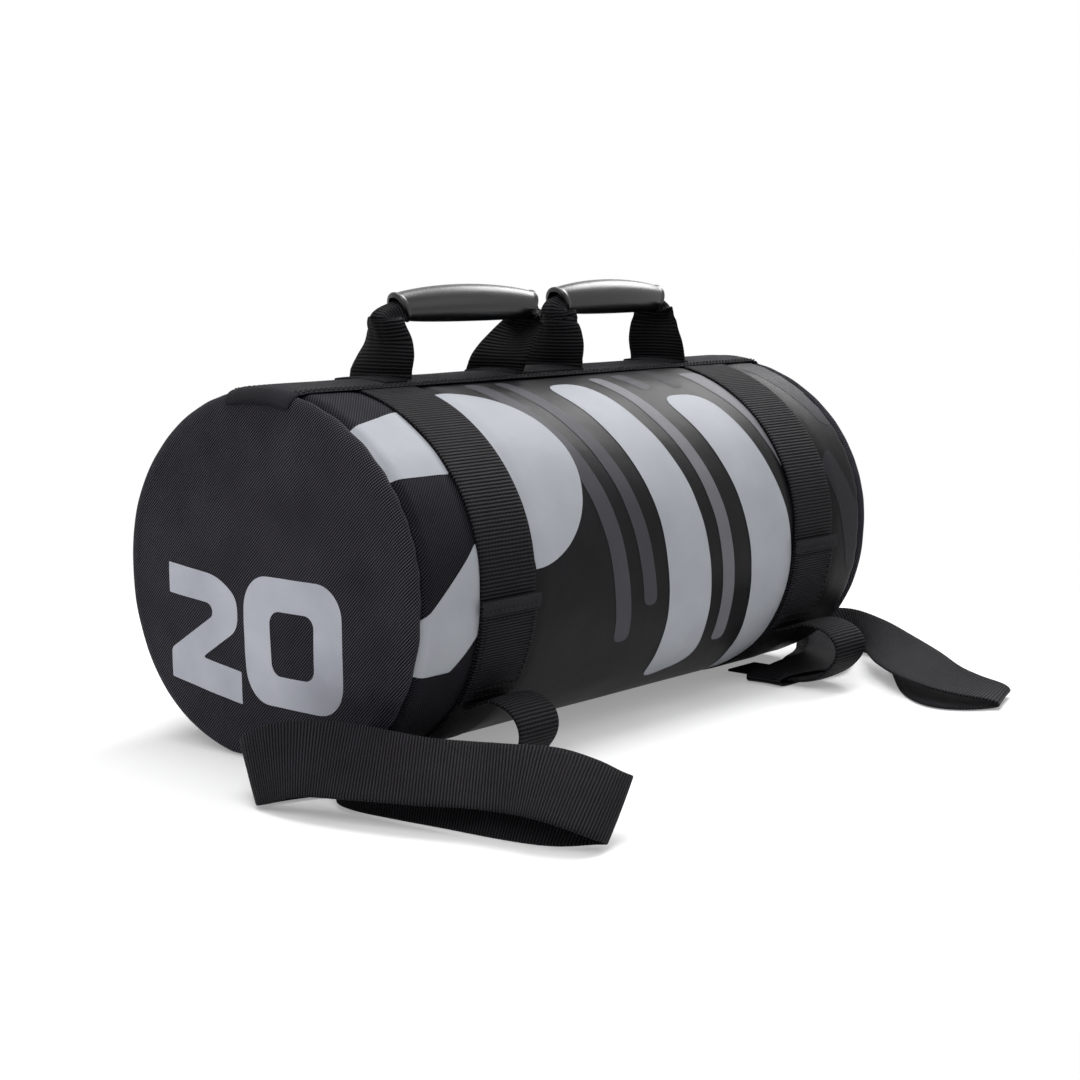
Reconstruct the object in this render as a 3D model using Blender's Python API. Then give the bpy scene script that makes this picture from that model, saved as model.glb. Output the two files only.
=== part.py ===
"""Sandbag trainer: a sand-filled fabric drum with two webbing handles and two hand loops.

The bag lies along X with its front end cap at -X and its patches on the -Y side.
The origin is on the floor, under the middle of the bag. Lengths are in metres.
"""
import math

import bmesh
import bpy
from mathutils import Matrix, Vector

# Bag, as it sags on the floor
BAG_LENGTH = 0.500
BAG_WIDTH = 0.264
BAG_CENTRE_HEIGHT = 0.118
BAG_RISE = 0.1185
BAG_DEPTH_UNPRESSED = 0.121
TOP_FULLNESS_EXPONENT = 2.0
BASE_FULLNESS_EXPONENT = 2.25
RIM_RUN = 0.010
RIM_DROP = 0.003
CAP_DOME = 0.006
CAP_TURN_IN = 0.012

# Sheet goods
CLEARANCE = 0.0003
FABRIC = 0.0016
WEBBING = 0.0018
WEBBING_WIDTH = 0.050
GROOVE_RAMP = 0.003

# Straps, patches and top strip
FRONT_STRAP_INSET = 0.082
REAR_STRAP_INSET = 0.076
PATCH_TOP_ANGLE = math.radians(95.0)
PATCH_BOTTOM_ANGLE = math.radians(123.75)
STRIP_LIP = 0.006
STRIP_HALF_ANGLE = math.radians(15.0)
SEAM_HALF_ANGLE = math.radians(7.5)
TAPE_HALF_ANGLE = math.radians(12.0)
SECTION_STEPS = 48

# Inside the bag
LINING_FOAM = 0.006
PAD_FOAM = 0.010
SACK_FILM = 0.0012
SACK_CORNER = 0.014
SACK_SHOULDER = 0.030
NECK_RADIUS = 0.016
NECK_WALL = 0.005
NECK_LENGTH = 0.010
MOUTH_FLARE = 0.008
TIE_WIDTH = 0.0045
TIE_THICKNESS = 0.0018
TIE_HEAD = 0.008

# Handles
HANDLE_OFFSET = 0.0905
HANDLE_SPAN = 0.114
LEG_RISES = {"front": 0.0303, "rear": 0.0315}
LEG_THICKNESS = 0.0024
LEG_TOP_WIDTH = 0.030
HANDLE_SWAYS = {"front": -0.009, "rear": -0.002}
HANDLE_LEANS = {"front": 0.018, "rear": 0.0}
GRIP_YAWS = {"front": math.radians(-8.0), "rear": 0.0}
TAPE_FOOT = 0.016
TAPE_OVERHANG = 0.004
GRIP_OVERHANG = 0.006
GRIP_END_RADIUS = 0.0094
GRIP_MIDDLE_RADIUS = 0.0132
GRIP_LIP = 0.0008
GRIP_WALL = 0.0030
GRIP_SLOT = 0.010
GRIP_MOUTH_CUTBACK = 0.019
GRIP_RISE = 0.0135
GRIP_ARCH = 0.0025
CORE_WIDTH = 0.0115
CORE_HEIGHT = 0.0085
CORE_BEND = 0.0095

# Loops
LINK_WIDTH = 0.040
LINK_REACHES = {"front": 0.046, "rear": 0.056}
LINK_TUCK = 0.042
LOOP_PAST_ENDS = {"front": 0.076, "rear": 0.068}
LOOP_SIDE_REACH = 0.170

# Route of a link, from the patch's foot out and back under the bag: shares of the
# link's reach, or below zero of its tuck, and shares of the foot's height
LINK_ROUTE_SHARES = (
    (0.00, 0.945), (0.12, 0.965), (0.29, 1.04), (0.47, 1.10), (0.71, 1.06), (0.88, 0.95), (0.97, 0.77),
    (0.95, 0.57), (0.82, 0.36), (0.64, 0.20), (0.42, 0.118), (0.10, 0.102), (-0.60, 0.102), (-1.00, 0.102),
)

# Route of a hand loop, a closed ring of webbing. Each row is a line across the webbing:
# along, side and height of its foot, then of its top edge. Along is a share of the
# way from strap to bag end, and past 1 a share of LOOP_PAST_ENDS. Side is a share of
# LOOP_SIDE_REACH beyond the patch's foot, and height a share of WEBBING_WIDTH.
FRONT_LOOP_SHARES = (
    ((-0.30, 0.075, 0.025), (-0.30, -0.110, 0.025)),
    ((0.00, 0.085, 0.025), (0.00, -0.120, 0.025)),
    ((0.27, 0.110, 0.025), (0.27, -0.135, 0.030)),
    ((0.59, 0.060, 0.035), (0.59, -0.200, 0.090)),
    ((0.93, 0.020, 0.030), (0.93, -0.240, 0.120)),
    ((1.09, -0.015, 0.030), (1.07, -0.265, 0.220)),
    ((1.31, -0.105, 0.030), (1.26, -0.345, 0.480)),
    ((1.66, -0.180, 0.030), (1.54, -0.395, 0.640)),
    ((1.97, -0.215, 0.030), (1.78, -0.400, 0.680)),
    ((2.01, -0.130, 0.120), (1.77, -0.295, 0.880)),
    ((2.00, -0.015, 0.260), (1.66, -0.160, 0.980)),
    ((1.94, 0.150, 0.320), (1.50, 0.020, 1.000)),
    ((1.84, 0.310, 0.350), (1.39, 0.160, 0.960)),
    ((1.73, 0.450, 0.360), (1.29, 0.300, 0.920)),
    ((1.61, 0.585, 0.380), (1.17, 0.440, 0.920)),
    ((1.54, 0.720, 0.390), (1.09, 0.570, 0.940)),
    ((1.50, 0.845, 0.380), (0.98, 0.745, 0.960)),
    ((1.41, 0.945, 0.300), (0.87, 0.865, 0.860)),
    ((1.27, 1.000, 0.180), (0.75, 0.925, 0.720)),
    ((1.12, 1.000, 0.075), (0.66, 0.935, 0.650)),
    ((1.11, 0.955, 0.035), (0.68, 0.885, 0.660)),
    ((1.28, 0.890, 0.030), (0.82, 0.830, 0.710)),
    ((1.39, 0.800, 0.030), (0.94, 0.730, 0.750)),
    ((1.46, 0.650, 0.030), (1.03, 0.560, 0.760)),
    ((1.51, 0.460, 0.030), (1.13, 0.365, 0.780)),
    ((1.57, 0.260, 0.030), (1.21, 0.145, 0.780)),
    ((1.60, 0.085, 0.030), (1.29, -0.040, 0.770)),
    ((1.54, -0.025, 0.035), (1.30, -0.195, 0.700)),
    ((1.37, -0.045, 0.060), (1.26, -0.265, 0.540)),
    ((1.14, 0.030, 0.120), (1.11, -0.210, 0.320)),
    ((0.95, 0.075, 0.150), (0.94, -0.180, 0.190)),
    ((0.61, 0.130, 0.152), (0.61, -0.130, 0.186)),
    ((0.27, 0.120, 0.148), (0.27, -0.130, 0.162)),
    ((0.00, 0.085, 0.145), (0.00, -0.120, 0.145)),
    ((-0.30, 0.075, 0.145), (-0.30, -0.110, 0.145)),
    ((-0.37, 0.070, 0.085), (-0.37, -0.105, 0.085)),
)
REAR_LOOP_SHARES = (
    ((-0.30, 0.075, 0.025), (-0.30, -0.110, 0.025)),
    ((0.00, 0.085, 0.025), (0.00, -0.120, 0.025)),
    ((0.27, 0.110, 0.025), (0.27, -0.135, 0.030)),
    ((0.59, 0.060, 0.035), (0.59, -0.200, 0.090)),
    ((0.93, 0.020, 0.030), (0.93, -0.240, 0.120)),
    ((1.09, -0.015, 0.030), (1.07, -0.265, 0.220)),
    ((1.34, -0.095, 0.030), (1.30, -0.335, 0.480)),
    ((1.62, -0.120, 0.030), (1.68, -0.350, 0.600)),
    ((1.68, -0.055, 0.030), (1.93, -0.250, 0.520)),
    ((1.55, 0.050, 0.030), (2.02, -0.080, 0.380)),
    ((1.30, 0.170, 0.030), (1.90, 0.110, 0.260)),
    ((0.90, 0.290, 0.030), (1.50, 0.290, 0.160)),
    ((0.20, 0.520, 0.030), (0.93, 0.470, 0.090)),
    ((-0.12, 0.680, 0.030), (0.50, 0.640, 0.070)),
    ((-0.20, 0.800, 0.030), (0.42, 0.780, 0.060)),
    ((-0.10, 0.905, 0.030), (0.50, 0.860, 0.055)),
    ((0.10, 0.985, 0.045), (0.70, 0.905, 0.070)),
    ((0.13, 1.000, 0.090), (0.73, 0.912, 0.110)),
    ((0.06, 0.960, 0.150), (0.68, 0.890, 0.190)),
    ((-0.08, 0.850, 0.210), (0.55, 0.820, 0.300)),
    ((-0.06, 0.700, 0.250), (0.56, 0.720, 0.390)),
    ((0.15, 0.500, 0.280), (0.80, 0.560, 0.480)),
    ((0.58, 0.290, 0.260), (1.20, 0.330, 0.540)),
    ((1.03, 0.125, 0.220), (1.60, 0.080, 0.620)),
    ((1.36, 0.010, 0.170), (1.72, -0.130, 0.700)),
    ((1.44, -0.020, 0.130), (1.52, -0.270, 0.660)),
    ((1.33, -0.015, 0.110), (1.28, -0.265, 0.520)),
    ((1.14, 0.030, 0.120), (1.11, -0.210, 0.320)),
    ((0.95, 0.075, 0.150), (0.94, -0.180, 0.190)),
    ((0.61, 0.130, 0.152), (0.61, -0.130, 0.186)),
    ((0.27, 0.120, 0.148), (0.27, -0.130, 0.162)),
    ((0.00, 0.085, 0.145), (0.00, -0.120, 0.145)),
    ((-0.30, 0.075, 0.145), (-0.30, -0.110, 0.145)),
    ((-0.37, 0.070, 0.085), (-0.37, -0.105, 0.085)),
)

# Worked out from the sizes above
HALF_LENGTH = BAG_LENGTH / 2
GRIP_LENGTH = HANDLE_SPAN + 2 * GRIP_OVERHANG
TURN_RADIUS = BAG_WIDTH / 2
STEP_ANGLE = math.tau / SECTION_STEPS
GROOVE_DEPTH = WEBBING + CLEARANCE
CAP_EDGE_DEPTH = RIM_DROP + FABRIC + CLEARANCE
STRIP_TOP_DEPTH = -(CLEARANCE + FABRIC)
TAPE_TOP_DEPTH = STRIP_TOP_DEPTH - CLEARANCE - WEBBING
STRAP_CENTRES = {"front": HALF_LENGTH - FRONT_STRAP_INSET, "rear": HALF_LENGTH - REAR_STRAP_INSET}
ENDS = {"front": -1, "rear": 1}
LEG_SIDES = {"outer": 1, "inner": -1}


def clear_scene():
    for item in list(bpy.data.objects):
        bpy.data.objects.remove(item, do_unlink=True)


def new_collection(name):
    group = bpy.data.collections.new(name)
    bpy.context.scene.collection.children.link(group)
    return group


def material(name, colour, roughness, metallic=0.0):
    """A plain shader for one kind of piece."""
    found = bpy.data.materials.get(name)
    if found:
        return found
    made = bpy.data.materials.new(name)
    made.use_nodes = True
    shader = made.node_tree.nodes["Principled BSDF"]
    shader.inputs["Base Color"].default_value = (*colour, 1.0)
    shader.inputs["Roughness"].default_value = roughness
    shader.inputs["Metallic"].default_value = metallic
    return made


def coated_fabric():
    return material("coated fabric", (0.028, 0.028, 0.030), 0.45)


def woven_fabric():
    return material("woven polyester", (0.012, 0.012, 0.013), 0.85)


def webbing():
    return material("ribbed webbing", (0.010, 0.010, 0.011), 0.8)


def rubber():
    return material("grip rubber", (0.050, 0.052, 0.055), 0.5)


def foam():
    return material("foam", (0.35, 0.35, 0.36), 0.95)


def sack_film():
    return material("sack film", (0.20, 0.21, 0.22), 0.4)


def sand():
    return material("sand", (0.45, 0.36, 0.24), 0.95)


def nylon():
    return material("nylon tie", (0.80, 0.80, 0.78), 0.5)


def section_radius(angle):
    """Distance from the bag's centre line to its outside. Angle 0 is the top, +90 degrees is +Y."""
    side = abs(math.sin(angle)) / (BAG_WIDTH / 2)
    upright = math.cos(angle)
    if upright >= 0:
        power = TOP_FULLNESS_EXPONENT
        return (side ** power + (upright / BAG_RISE) ** power) ** (-1 / power)
    power = BASE_FULLNESS_EXPONENT
    full = (side ** power + (-upright / BAG_DEPTH_UNPRESSED) ** power) ** (-1 / power)
    return min(full, BAG_CENTRE_HEIGHT / -upright)


def sagged(point):
    """Moves a point of the round bag, turned about X, to its place on the sagged one."""
    radius = math.hypot(point.y, point.z)
    if radius < CLEARANCE:
        return Vector((point.x, 0, BAG_CENTRE_HEIGHT))
    angle = math.atan2(point.y, point.z)
    reach = section_radius(angle) * radius / TURN_RADIUS
    return Vector((point.x, reach * math.sin(angle), BAG_CENTRE_HEIGHT + reach * math.cos(angle)))


def on_bag(x, depth, angle):
    """The point at a depth under the bag's outside, on the flats between the section's steps."""
    step = math.floor(angle / STEP_ANGLE + CLEARANCE)
    share = angle / STEP_ANGLE - step
    radius = TURN_RADIUS - depth
    ends = []
    for turn in (step * STEP_ANGLE, (step + 1) * STEP_ANGLE):
        ends.append(sagged(Vector((x, radius * math.sin(turn), radius * math.cos(turn)))))
    return ends[0].lerp(ends[1], share)


def parallel(path, distance):
    """A path of (x, depth) points moved deeper by distance, square to itself."""
    moved = []
    for index, (x, depth) in enumerate(path):
        before = Vector(path[max(index - 1, 0)])
        after = Vector(path[min(index + 1, len(path) - 1)])
        here = Vector((x, depth))
        sides = [part.normalized() for part in (here - before, after - here) if part.length > 0]
        normals = [Vector((-part.y, part.x)) for part in sides]
        bisector = (normals[0] + normals[-1]).normalized()
        place = here + bisector * distance / bisector.dot(normals[0])
        moved.append((place.x, place.y))
    return moved


def sweep_angles(start, end):
    """Both end angles and every step of the section between them."""
    first = math.floor(start / STEP_ANGLE + CLEARANCE) + 1
    last = math.ceil(end / STEP_ANGLE - CLEARANCE) - 1
    return [start] + [step * STEP_ANGLE for step in range(first, last + 1)] + [end]


def finish_mesh(shape, name, look, group, sharp_angle=math.radians(35)):
    """Turns a bmesh into a smooth-shaded object."""
    bmesh.ops.remove_doubles(shape, verts=shape.verts, dist=CLEARANCE / 10)
    open_edges = [edge for edge in shape.edges if edge.is_boundary]
    if open_edges:
        bmesh.ops.holes_fill(shape, edges=open_edges, sides=0)
    bmesh.ops.recalc_face_normals(shape, faces=shape.faces)
    mesh = bpy.data.meshes.new(name)
    shape.to_mesh(mesh)
    shape.free()
    mesh.shade_smooth()
    mesh.set_sharp_from_angle(angle=sharp_angle)
    mesh.materials.append(look)
    made = bpy.data.objects.new(name, mesh)
    group.objects.link(made)
    return made


def lofted(name, rings, closed, look, group):
    """A body through rings of as many points each. A closed one runs back into its first ring."""
    count = len(rings)
    spans = count if closed else count - 1
    around = len(rings[0])
    shape = bmesh.new()
    half = 0.5
    bmesh.ops.create_grid(shape, x_segments=spans, y_segments=around, size=half)
    for vert in shape.verts:
        ring = round((vert.co.x + half) * spans) % count
        place = round((vert.co.y + half) * around) % around
        vert.co = rings[ring][place]
    return finish_mesh(shape, name, look, group)


def turned(name, outline, look, group, start=0.0, end=math.tau):
    """Takes an outline of (x, depth) points round the bag, or round a part of it."""
    closed = math.isclose(end - start, math.tau)
    angles = sweep_angles(start, end)
    if closed:
        angles = angles[:-1]
    rings = [[on_bag(x, depth, angle) for x, depth in outline] for angle in angles]
    return lofted(name, rings, closed, look, group)


def hang_on(item, pivot):
    """Puts an object's origin on its joint without moving its shape."""
    item.data.transform(Matrix.Translation(-pivot))
    item.location = pivot


def rim_path(end):
    """The rounded rim at one end of the panel, from the flat of the bag to its very end."""
    rim_shares = ((0.0, 0.0), (0.45, 0.08), (0.78, 0.28), (0.94, 0.60), (1.0, 1.0))
    start = HALF_LENGTH - RIM_RUN
    return [(end * (start + run * RIM_RUN), drop * RIM_DROP) for run, drop in rim_shares]


def groove_path(centre):
    """The groove that one strap lies in."""
    wide = WEBBING_WIDTH / 2 + CLEARANCE
    return [(centre - wide - GROOVE_RAMP, 0.0), (centre - wide, GROOVE_DEPTH),
            (centre + wide, GROOVE_DEPTH), (centre + wide + GROOVE_RAMP, 0.0)]


def wall_path():
    """The outside of the panel from end to end, as (x, depth)."""
    front = list(reversed(rim_path(-1)))
    rear = rim_path(1)
    return (front + groove_path(-STRAP_CENTRES["front"]) + [(0.0, 0.0)] +
            groove_path(STRAP_CENTRES["rear"]) + rear)


def cap_bulge(depth):
    """How far the end cap stands out past the bag's end, under a depth from the outside."""
    edge = TURN_RADIUS - CAP_EDGE_DEPTH
    share = min((TURN_RADIUS - depth) / edge, 1.0)
    return CAP_DOME * (1 - share * share)


def make_panel(group):
    outer = wall_path()
    inner = parallel(outer, FABRIC)
    turned("body_panel", outer + list(reversed(inner)), coated_fabric(), group,
           start=SEAM_HALF_ANGLE, end=math.tau - SEAM_HALF_ANGLE)


def make_strap(name, centre, group):
    low, high = centre - WEBBING_WIDTH / 2, centre + WEBBING_WIDTH / 2
    outline = [(low, 0.0), (high, 0.0), (high, WEBBING), (low, WEBBING)]
    turned(name, outline, webbing(), group, start=SEAM_HALF_ANGLE, end=math.tau - SEAM_HALF_ANGLE)


def make_top_strip(group):
    """The strip over the panel's edges, with a lip turned down over each rim."""
    lip_depth = CAP_EDGE_DEPTH + STRIP_LIP

    def lip(end):
        return [(end * (HALF_LENGTH + cap_bulge(lip_depth)), lip_depth), (end * HALF_LENGTH, CAP_EDGE_DEPTH)]

    seat = lip(-1) + list(reversed(rim_path(-1))) + rim_path(1) + list(reversed(lip(1)))
    under = parallel(seat, -CLEARANCE)
    over = parallel(seat, -CLEARANCE - FABRIC)
    turned("top_strip", over + list(reversed(under)), woven_fabric(), group, start=-STRIP_HALF_ANGLE,
           end=STRIP_HALF_ANGLE)


def cap_face(extra, rings):
    """The cap's domed face from centre to edge, moved into the bag by extra."""
    edge = TURN_RADIUS - CAP_EDGE_DEPTH
    points = []
    for ring in range(rings + 1):
        depth = TURN_RADIUS - edge * ring / rings
        points.append((HALF_LENGTH + cap_bulge(depth) - extra, depth))
    return points


def make_end_cap(name, end, group):
    """A domed round panel whose edge turns in under the body panel."""
    rings = 5
    edge_x = HALF_LENGTH - CAP_TURN_IN
    outer = cap_face(0.0, rings) + [(edge_x, CAP_EDGE_DEPTH)]
    inner_edge = [(edge_x, CAP_EDGE_DEPTH + FABRIC)]
    inner = cap_face(FABRIC, rings)[:-1] + [(HALF_LENGTH - FABRIC, CAP_EDGE_DEPTH + FABRIC)]
    outline = outer + inner_edge + list(reversed(inner))
    turned(name, [(end * x, depth) for x, depth in outline], woven_fabric(), group)


def pad_inner_x():
    return HALF_LENGTH - FABRIC - CLEARANCE - PAD_FOAM


def make_foam_pad(name, end, group):
    """A foam disc that fills the cap behind its fabric."""
    rings = 4
    rim_depth = CAP_EDGE_DEPTH + FABRIC + CLEARANCE
    edge = TURN_RADIUS - rim_depth
    face = []
    for ring in range(rings + 1):
        depth = TURN_RADIUS - edge * ring / rings
        face.append((HALF_LENGTH + cap_bulge(depth) - FABRIC - CLEARANCE, depth))
    outline = face + [(pad_inner_x(), rim_depth), (pad_inner_x(), TURN_RADIUS)]
    turned(name, [(end * x, depth) for x, depth in outline], foam(), group)


def lining_inner_depth():
    return GROOVE_DEPTH + FABRIC + CLEARANCE + LINING_FOAM


def make_lining(group):
    """The foam tube under the panel, between the two cap edges."""
    edge_x = HALF_LENGTH - CAP_TURN_IN - CLEARANCE
    inside = [point for point in wall_path() if abs(point[0]) < edge_x - RIM_RUN]
    path = [(-edge_x, 0.0)] + inside + [(edge_x, 0.0)]
    outer = parallel(path, FABRIC + CLEARANCE)
    depth = lining_inner_depth()
    turned("foam_lining", outer + [(edge_x, depth), (-edge_x, depth)], foam(), group)


def sack_path():
    """The sack's outside, from its closed end on the axis to the mouth at its neck."""
    closed_x = -(pad_inner_x() - CLEARANCE)
    mouth_x = pad_inner_x() - CLEARANCE
    side = lining_inner_depth() + CLEARANCE
    neck_x = mouth_x - NECK_LENGTH
    neck = TURN_RADIUS - NECK_RADIUS
    corner_shares = ((0.0, 1.0), (0.08, 0.55), (0.35, 0.15), (1.0, 0.0))
    path = [(closed_x, TURN_RADIUS)]
    path += [(closed_x + run * SACK_CORNER, side + drop * SACK_CORNER) for run, drop in corner_shares]
    shoulder_x = neck_x - SACK_SHOULDER
    shoulder_shares = ((0.0, 0.0), (0.45, 0.12), (0.75, 0.45), (0.9, 0.85))
    path += [(shoulder_x + run * SACK_SHOULDER, side + drop * (neck - side)) for run, drop in shoulder_shares]
    path += [(neck_x, neck), (neck_x + NECK_LENGTH / 2, neck), (mouth_x, neck - MOUTH_FLARE)]
    return path


def sack_inside():
    """The sack's inside, from its mouth back to the closed end."""
    path = sack_path()
    film = parallel(path[:-3], SACK_FILM)
    film[0] = (path[0][0] + SACK_FILM, TURN_RADIUS)
    neck = [(x, depth + NECK_WALL) for x, depth in path[-3:]]
    return film + neck


def make_sack(group):
    turned("filler_sack", sack_path() + list(reversed(sack_inside())), sack_film(), group)


def make_filling(group):
    """The sand, up to the sack's shoulder."""
    inside = sack_inside()[:-4]
    path = parallel(inside, CLEARANCE)
    path[0] = (inside[0][0] + CLEARANCE, TURN_RADIUS)
    path.append((path[-1][0], TURN_RADIUS))
    turned("filling", path, sand(), group)


def make_tie(group, cutters):
    """A cable tie pulled tight round the neck, with its square head."""
    centre_x = sack_path()[-2][0] - NECK_LENGTH / 4
    low, high = centre_x - TIE_WIDTH / 2, centre_x + TIE_WIDTH / 2
    inner = TURN_RADIUS - NECK_RADIUS - CLEARANCE
    outer = inner - TIE_THICKNESS
    tie = turned("sack_tie", [(low, outer), (high, outer), (high, inner), (low, inner)], nylon(), group)
    shape = bmesh.new()
    bmesh.ops.create_cube(shape, size=1)
    head_at = sagged(Vector((centre_x, 0, NECK_RADIUS + CLEARANCE)))
    place = Matrix.Translation(head_at + Vector((0, 0, TIE_HEAD / 2))) @ Matrix.Diagonal(
        (TIE_WIDTH, TIE_HEAD, TIE_HEAD, 1))
    bmesh.ops.transform(shape, matrix=place, verts=shape.verts)
    head = finish_mesh(shape, "tie_head_cutter", nylon(), cutters)
    hide_cutter(head)
    join = tie.modifiers.new("head", "BOOLEAN")
    join.operation = "UNION"
    join.object = head


def hide_cutter(item):
    item.hide_render = True
    item.display_type = "WIRE"


def make_patch(name, centre, group):
    """The tab over a strap's lower end, on the -Y side."""
    low, high = centre - WEBBING_WIDTH / 2, centre + WEBBING_WIDTH / 2
    over, under = -CLEARANCE - WEBBING, -CLEARANCE
    outline = [(low, over), (high, over), (high, under), (low, under)]
    turned(name, outline, webbing(), group, start=-PATCH_BOTTOM_ANGLE, end=-PATCH_TOP_ANGLE)


def make_tape(name, low, high, group):
    """Handle webbing sewn flat on the top strip."""
    under = STRIP_TOP_DEPTH - CLEARANCE
    outline = [(low, TAPE_TOP_DEPTH), (high, TAPE_TOP_DEPTH), (high, under), (low, under)]
    turned(name, outline, webbing(), group, start=-TAPE_HALF_ANGLE, end=TAPE_HALF_ANGLE)


def leg_pivots(where, side):
    """The lower and upper joint of one leg of a handle."""
    end = ENDS[where]
    x = end * (HANDLE_OFFSET + LEG_SIDES[side] * HANDLE_SPAN / 2)
    base_z = on_bag(0.0, TAPE_TOP_DEPTH, 0.0).z + CLEARANCE + LEG_THICKNESS / 2
    across = HANDLE_SWAYS[where] + (x - end * HANDLE_OFFSET) * math.tan(GRIP_YAWS[where])
    return Vector((x, 0, base_z)), Vector((x + HANDLE_LEANS[where], across, base_z + LEG_RISES[where]))


def make_leg(where, side, group):
    """Webbing that narrows from its foot to the grip, with a round hem at each joint."""
    low, high = leg_pivots(where, side)
    lean, height = high.x - low.x, high.z - low.z
    radius = LEG_THICKNESS / 2
    hem_steps = 5
    outline = []
    for turn in range(hem_steps + 1):
        angle = math.pi * turn / hem_steps
        outline.append((lean + radius * math.cos(angle), high.z + radius * math.sin(angle), 1.0))
    waist_shares = (0.75, 0.5, 0.25)
    outline += [(share * lean - radius, low.z + share * height, share) for share in waist_shares]
    for turn in range(hem_steps + 1):
        angle = math.pi * (1 + turn / hem_steps)
        outline.append((radius * math.cos(angle), low.z + radius * math.sin(angle), 0.0))
    outline += [(share * lean + radius, low.z + share * height, share) for share in reversed(waist_shares)]
    rings = []
    for across_share in (-1.0, -0.5, 0.0, 0.5, 1.0):
        ring = []
        for x, z, rise in outline:
            half_width = LEG_TOP_WIDTH / 2 + (WEBBING_WIDTH - LEG_TOP_WIDTH) / 2 * (1 - rise) ** 1.6
            ring.append(Vector((low.x + x, high.y * rise + across_share * half_width, z)))
        rings.append(ring)
    leg = lofted(f"{where}_handle_{side}_leg", rings, False, webbing(), group)
    hang_on(leg, low)


def grip_centre(where):
    outer, inner = leg_pivots(where, "outer")[1], leg_pivots(where, "inner")[1]
    return (outer + inner) / 2 + Vector((0, 0, GRIP_RISE))


def place_grip_part(rings, where):
    """Turns rings built round the grip's own centre to their place on the handle."""
    turn = Matrix.Rotation(GRIP_YAWS[where], 4, "Z")
    place = Matrix.Translation(grip_centre(where)) @ turn
    return [[place @ point for point in ring] for ring in rings]


def make_grip(where, group):
    """A moulded barrel, split along its underside, with a thick lip at each slanted mouth."""
    arc_steps = 20
    rings = []
    station_shares = (-1.0, -0.985, -0.955, -0.935, -0.8, -0.5, 0.0, 0.5, 0.8, 0.935, 0.955, 0.985, 1.0)
    lip_shares = (0.35, 1.0, 1.0, 0.0, 0.0, 0.0, 0.0, 0.0, 0.0, 0.0, 1.0, 1.0, 0.35)
    for share, lip in zip(station_shares, lip_shares):
        barrel = (1 - share * share) ** 0.8
        outer = GRIP_END_RADIUS + (GRIP_MIDDLE_RADIUS - GRIP_END_RADIUS) * barrel
        inner = outer - GRIP_WALL
        outer += lip * GRIP_LIP
        ring = []
        for radius, order in ((outer, 1), (inner, -1)):
            gap = math.asin(GRIP_SLOT / 2 / radius)
            for step in range(arc_steps + 1):
                angle = order * (2 * step / arc_steps - 1) * (math.pi - gap)
                y, z = radius * math.sin(angle), radius * math.cos(angle)
                cutback = GRIP_MOUTH_CUTBACK * (1 - z / GRIP_MIDDLE_RADIUS) / 2
                x = share * (GRIP_LENGTH / 2 - cutback)
                ring.append(Vector((x, y, z - GRIP_ARCH * share * share)))
        rings.append(ring)
    grip = lofted(f"{where}_handle_grip", place_grip_part(rings, where), False, rubber(), group)
    hang_on(grip, leg_pivots(where, "outer")[1])


def make_core(where, group):
    """The webbing folded up inside the grip, its two ends bent down to the legs."""
    around = 16
    span = HANDLE_SPAN / 2 / math.cos(GRIP_YAWS[where])
    end_z = LEG_THICKNESS / 2 + CLEARANCE - GRIP_RISE
    bend_steps = 6
    half_path = []
    for step in range(bend_steps + 1):
        angle = math.pi / 2 * step / bend_steps
        x, z = span - CORE_BEND * (1 - math.cos(angle)), -CORE_BEND * (1 - math.sin(angle))
        half_path.append((x, z - GRIP_ARCH * (x / span) ** 2, angle))
    half_path += [(span * share, -GRIP_ARCH * share * share, math.pi / 2) for share in (0.6, 0.3, 0.0)]
    path = [(span, end_z, 0.0)] + half_path
    path += [(-x, z, math.pi - angle) for x, z, angle in reversed(path[:-1])]
    rings = []
    for x, z, angle in path:
        ring = []
        for step in range(around):
            turn = math.tau * step / around
            lift = CORE_HEIGHT / 2 * math.sin(turn)
            ring.append(Vector((x + lift * math.cos(angle), CORE_WIDTH / 2 * math.cos(turn),
                                z + lift * math.sin(angle))))
        rings.append(ring)
    core = lofted(f"{where}_handle_core", place_grip_part(rings, where), False, webbing(), group)
    hang_on(core, leg_pivots(where, "outer")[1])


def eased(points, closed, per_span):
    """Points along a smooth curve through the given ones."""
    count = len(points)
    spans = count if closed else count - 1
    curve = []
    for index in range(spans):
        near = []
        for shift in (-1, 0, 1, 2):
            place = (index + shift) % count if closed else min(max(index + shift, 0), count - 1)
            near.append(points[place])
        for step in range(per_span):
            t = step / per_span
            slope = (near[2] - near[0]) * t
            bend = (near[0] * 2 - near[1] * 5 + near[2] * 4 - near[3]) * t ** 2
            twist = (near[1] * 3 - near[0] - near[2] * 3 + near[3]) * t ** 3
            curve.append((near[1] * 2 + slope + bend + twist) / 2)
    if not closed:
        curve.append(points[-1])
    return curve


def make_ribbon(name, feet, tops, closed, pivot, group, per_span=2):
    """Webbing through lines across it, each from a foot to a top edge."""
    feet = eased(feet, closed, per_span)
    tops = eased(tops, closed, per_span)
    count = len(feet)
    rings = []
    for index in range(count):
        before = (index - 1) % count if closed else max(index - 1, 0)
        after = (index + 1) % count if closed else min(index + 1, count - 1)
        run = feet[after] + tops[after] - feet[before] - tops[before]
        across = tops[index] - feet[index]
        normal = run.cross(across).normalized() * WEBBING / 2
        rings.append([feet[index] - normal, tops[index] - normal, tops[index] + normal, feet[index] + normal])
    ribbon = lofted(name, rings, closed, webbing(), group)
    hang_on(ribbon, pivot)


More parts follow.
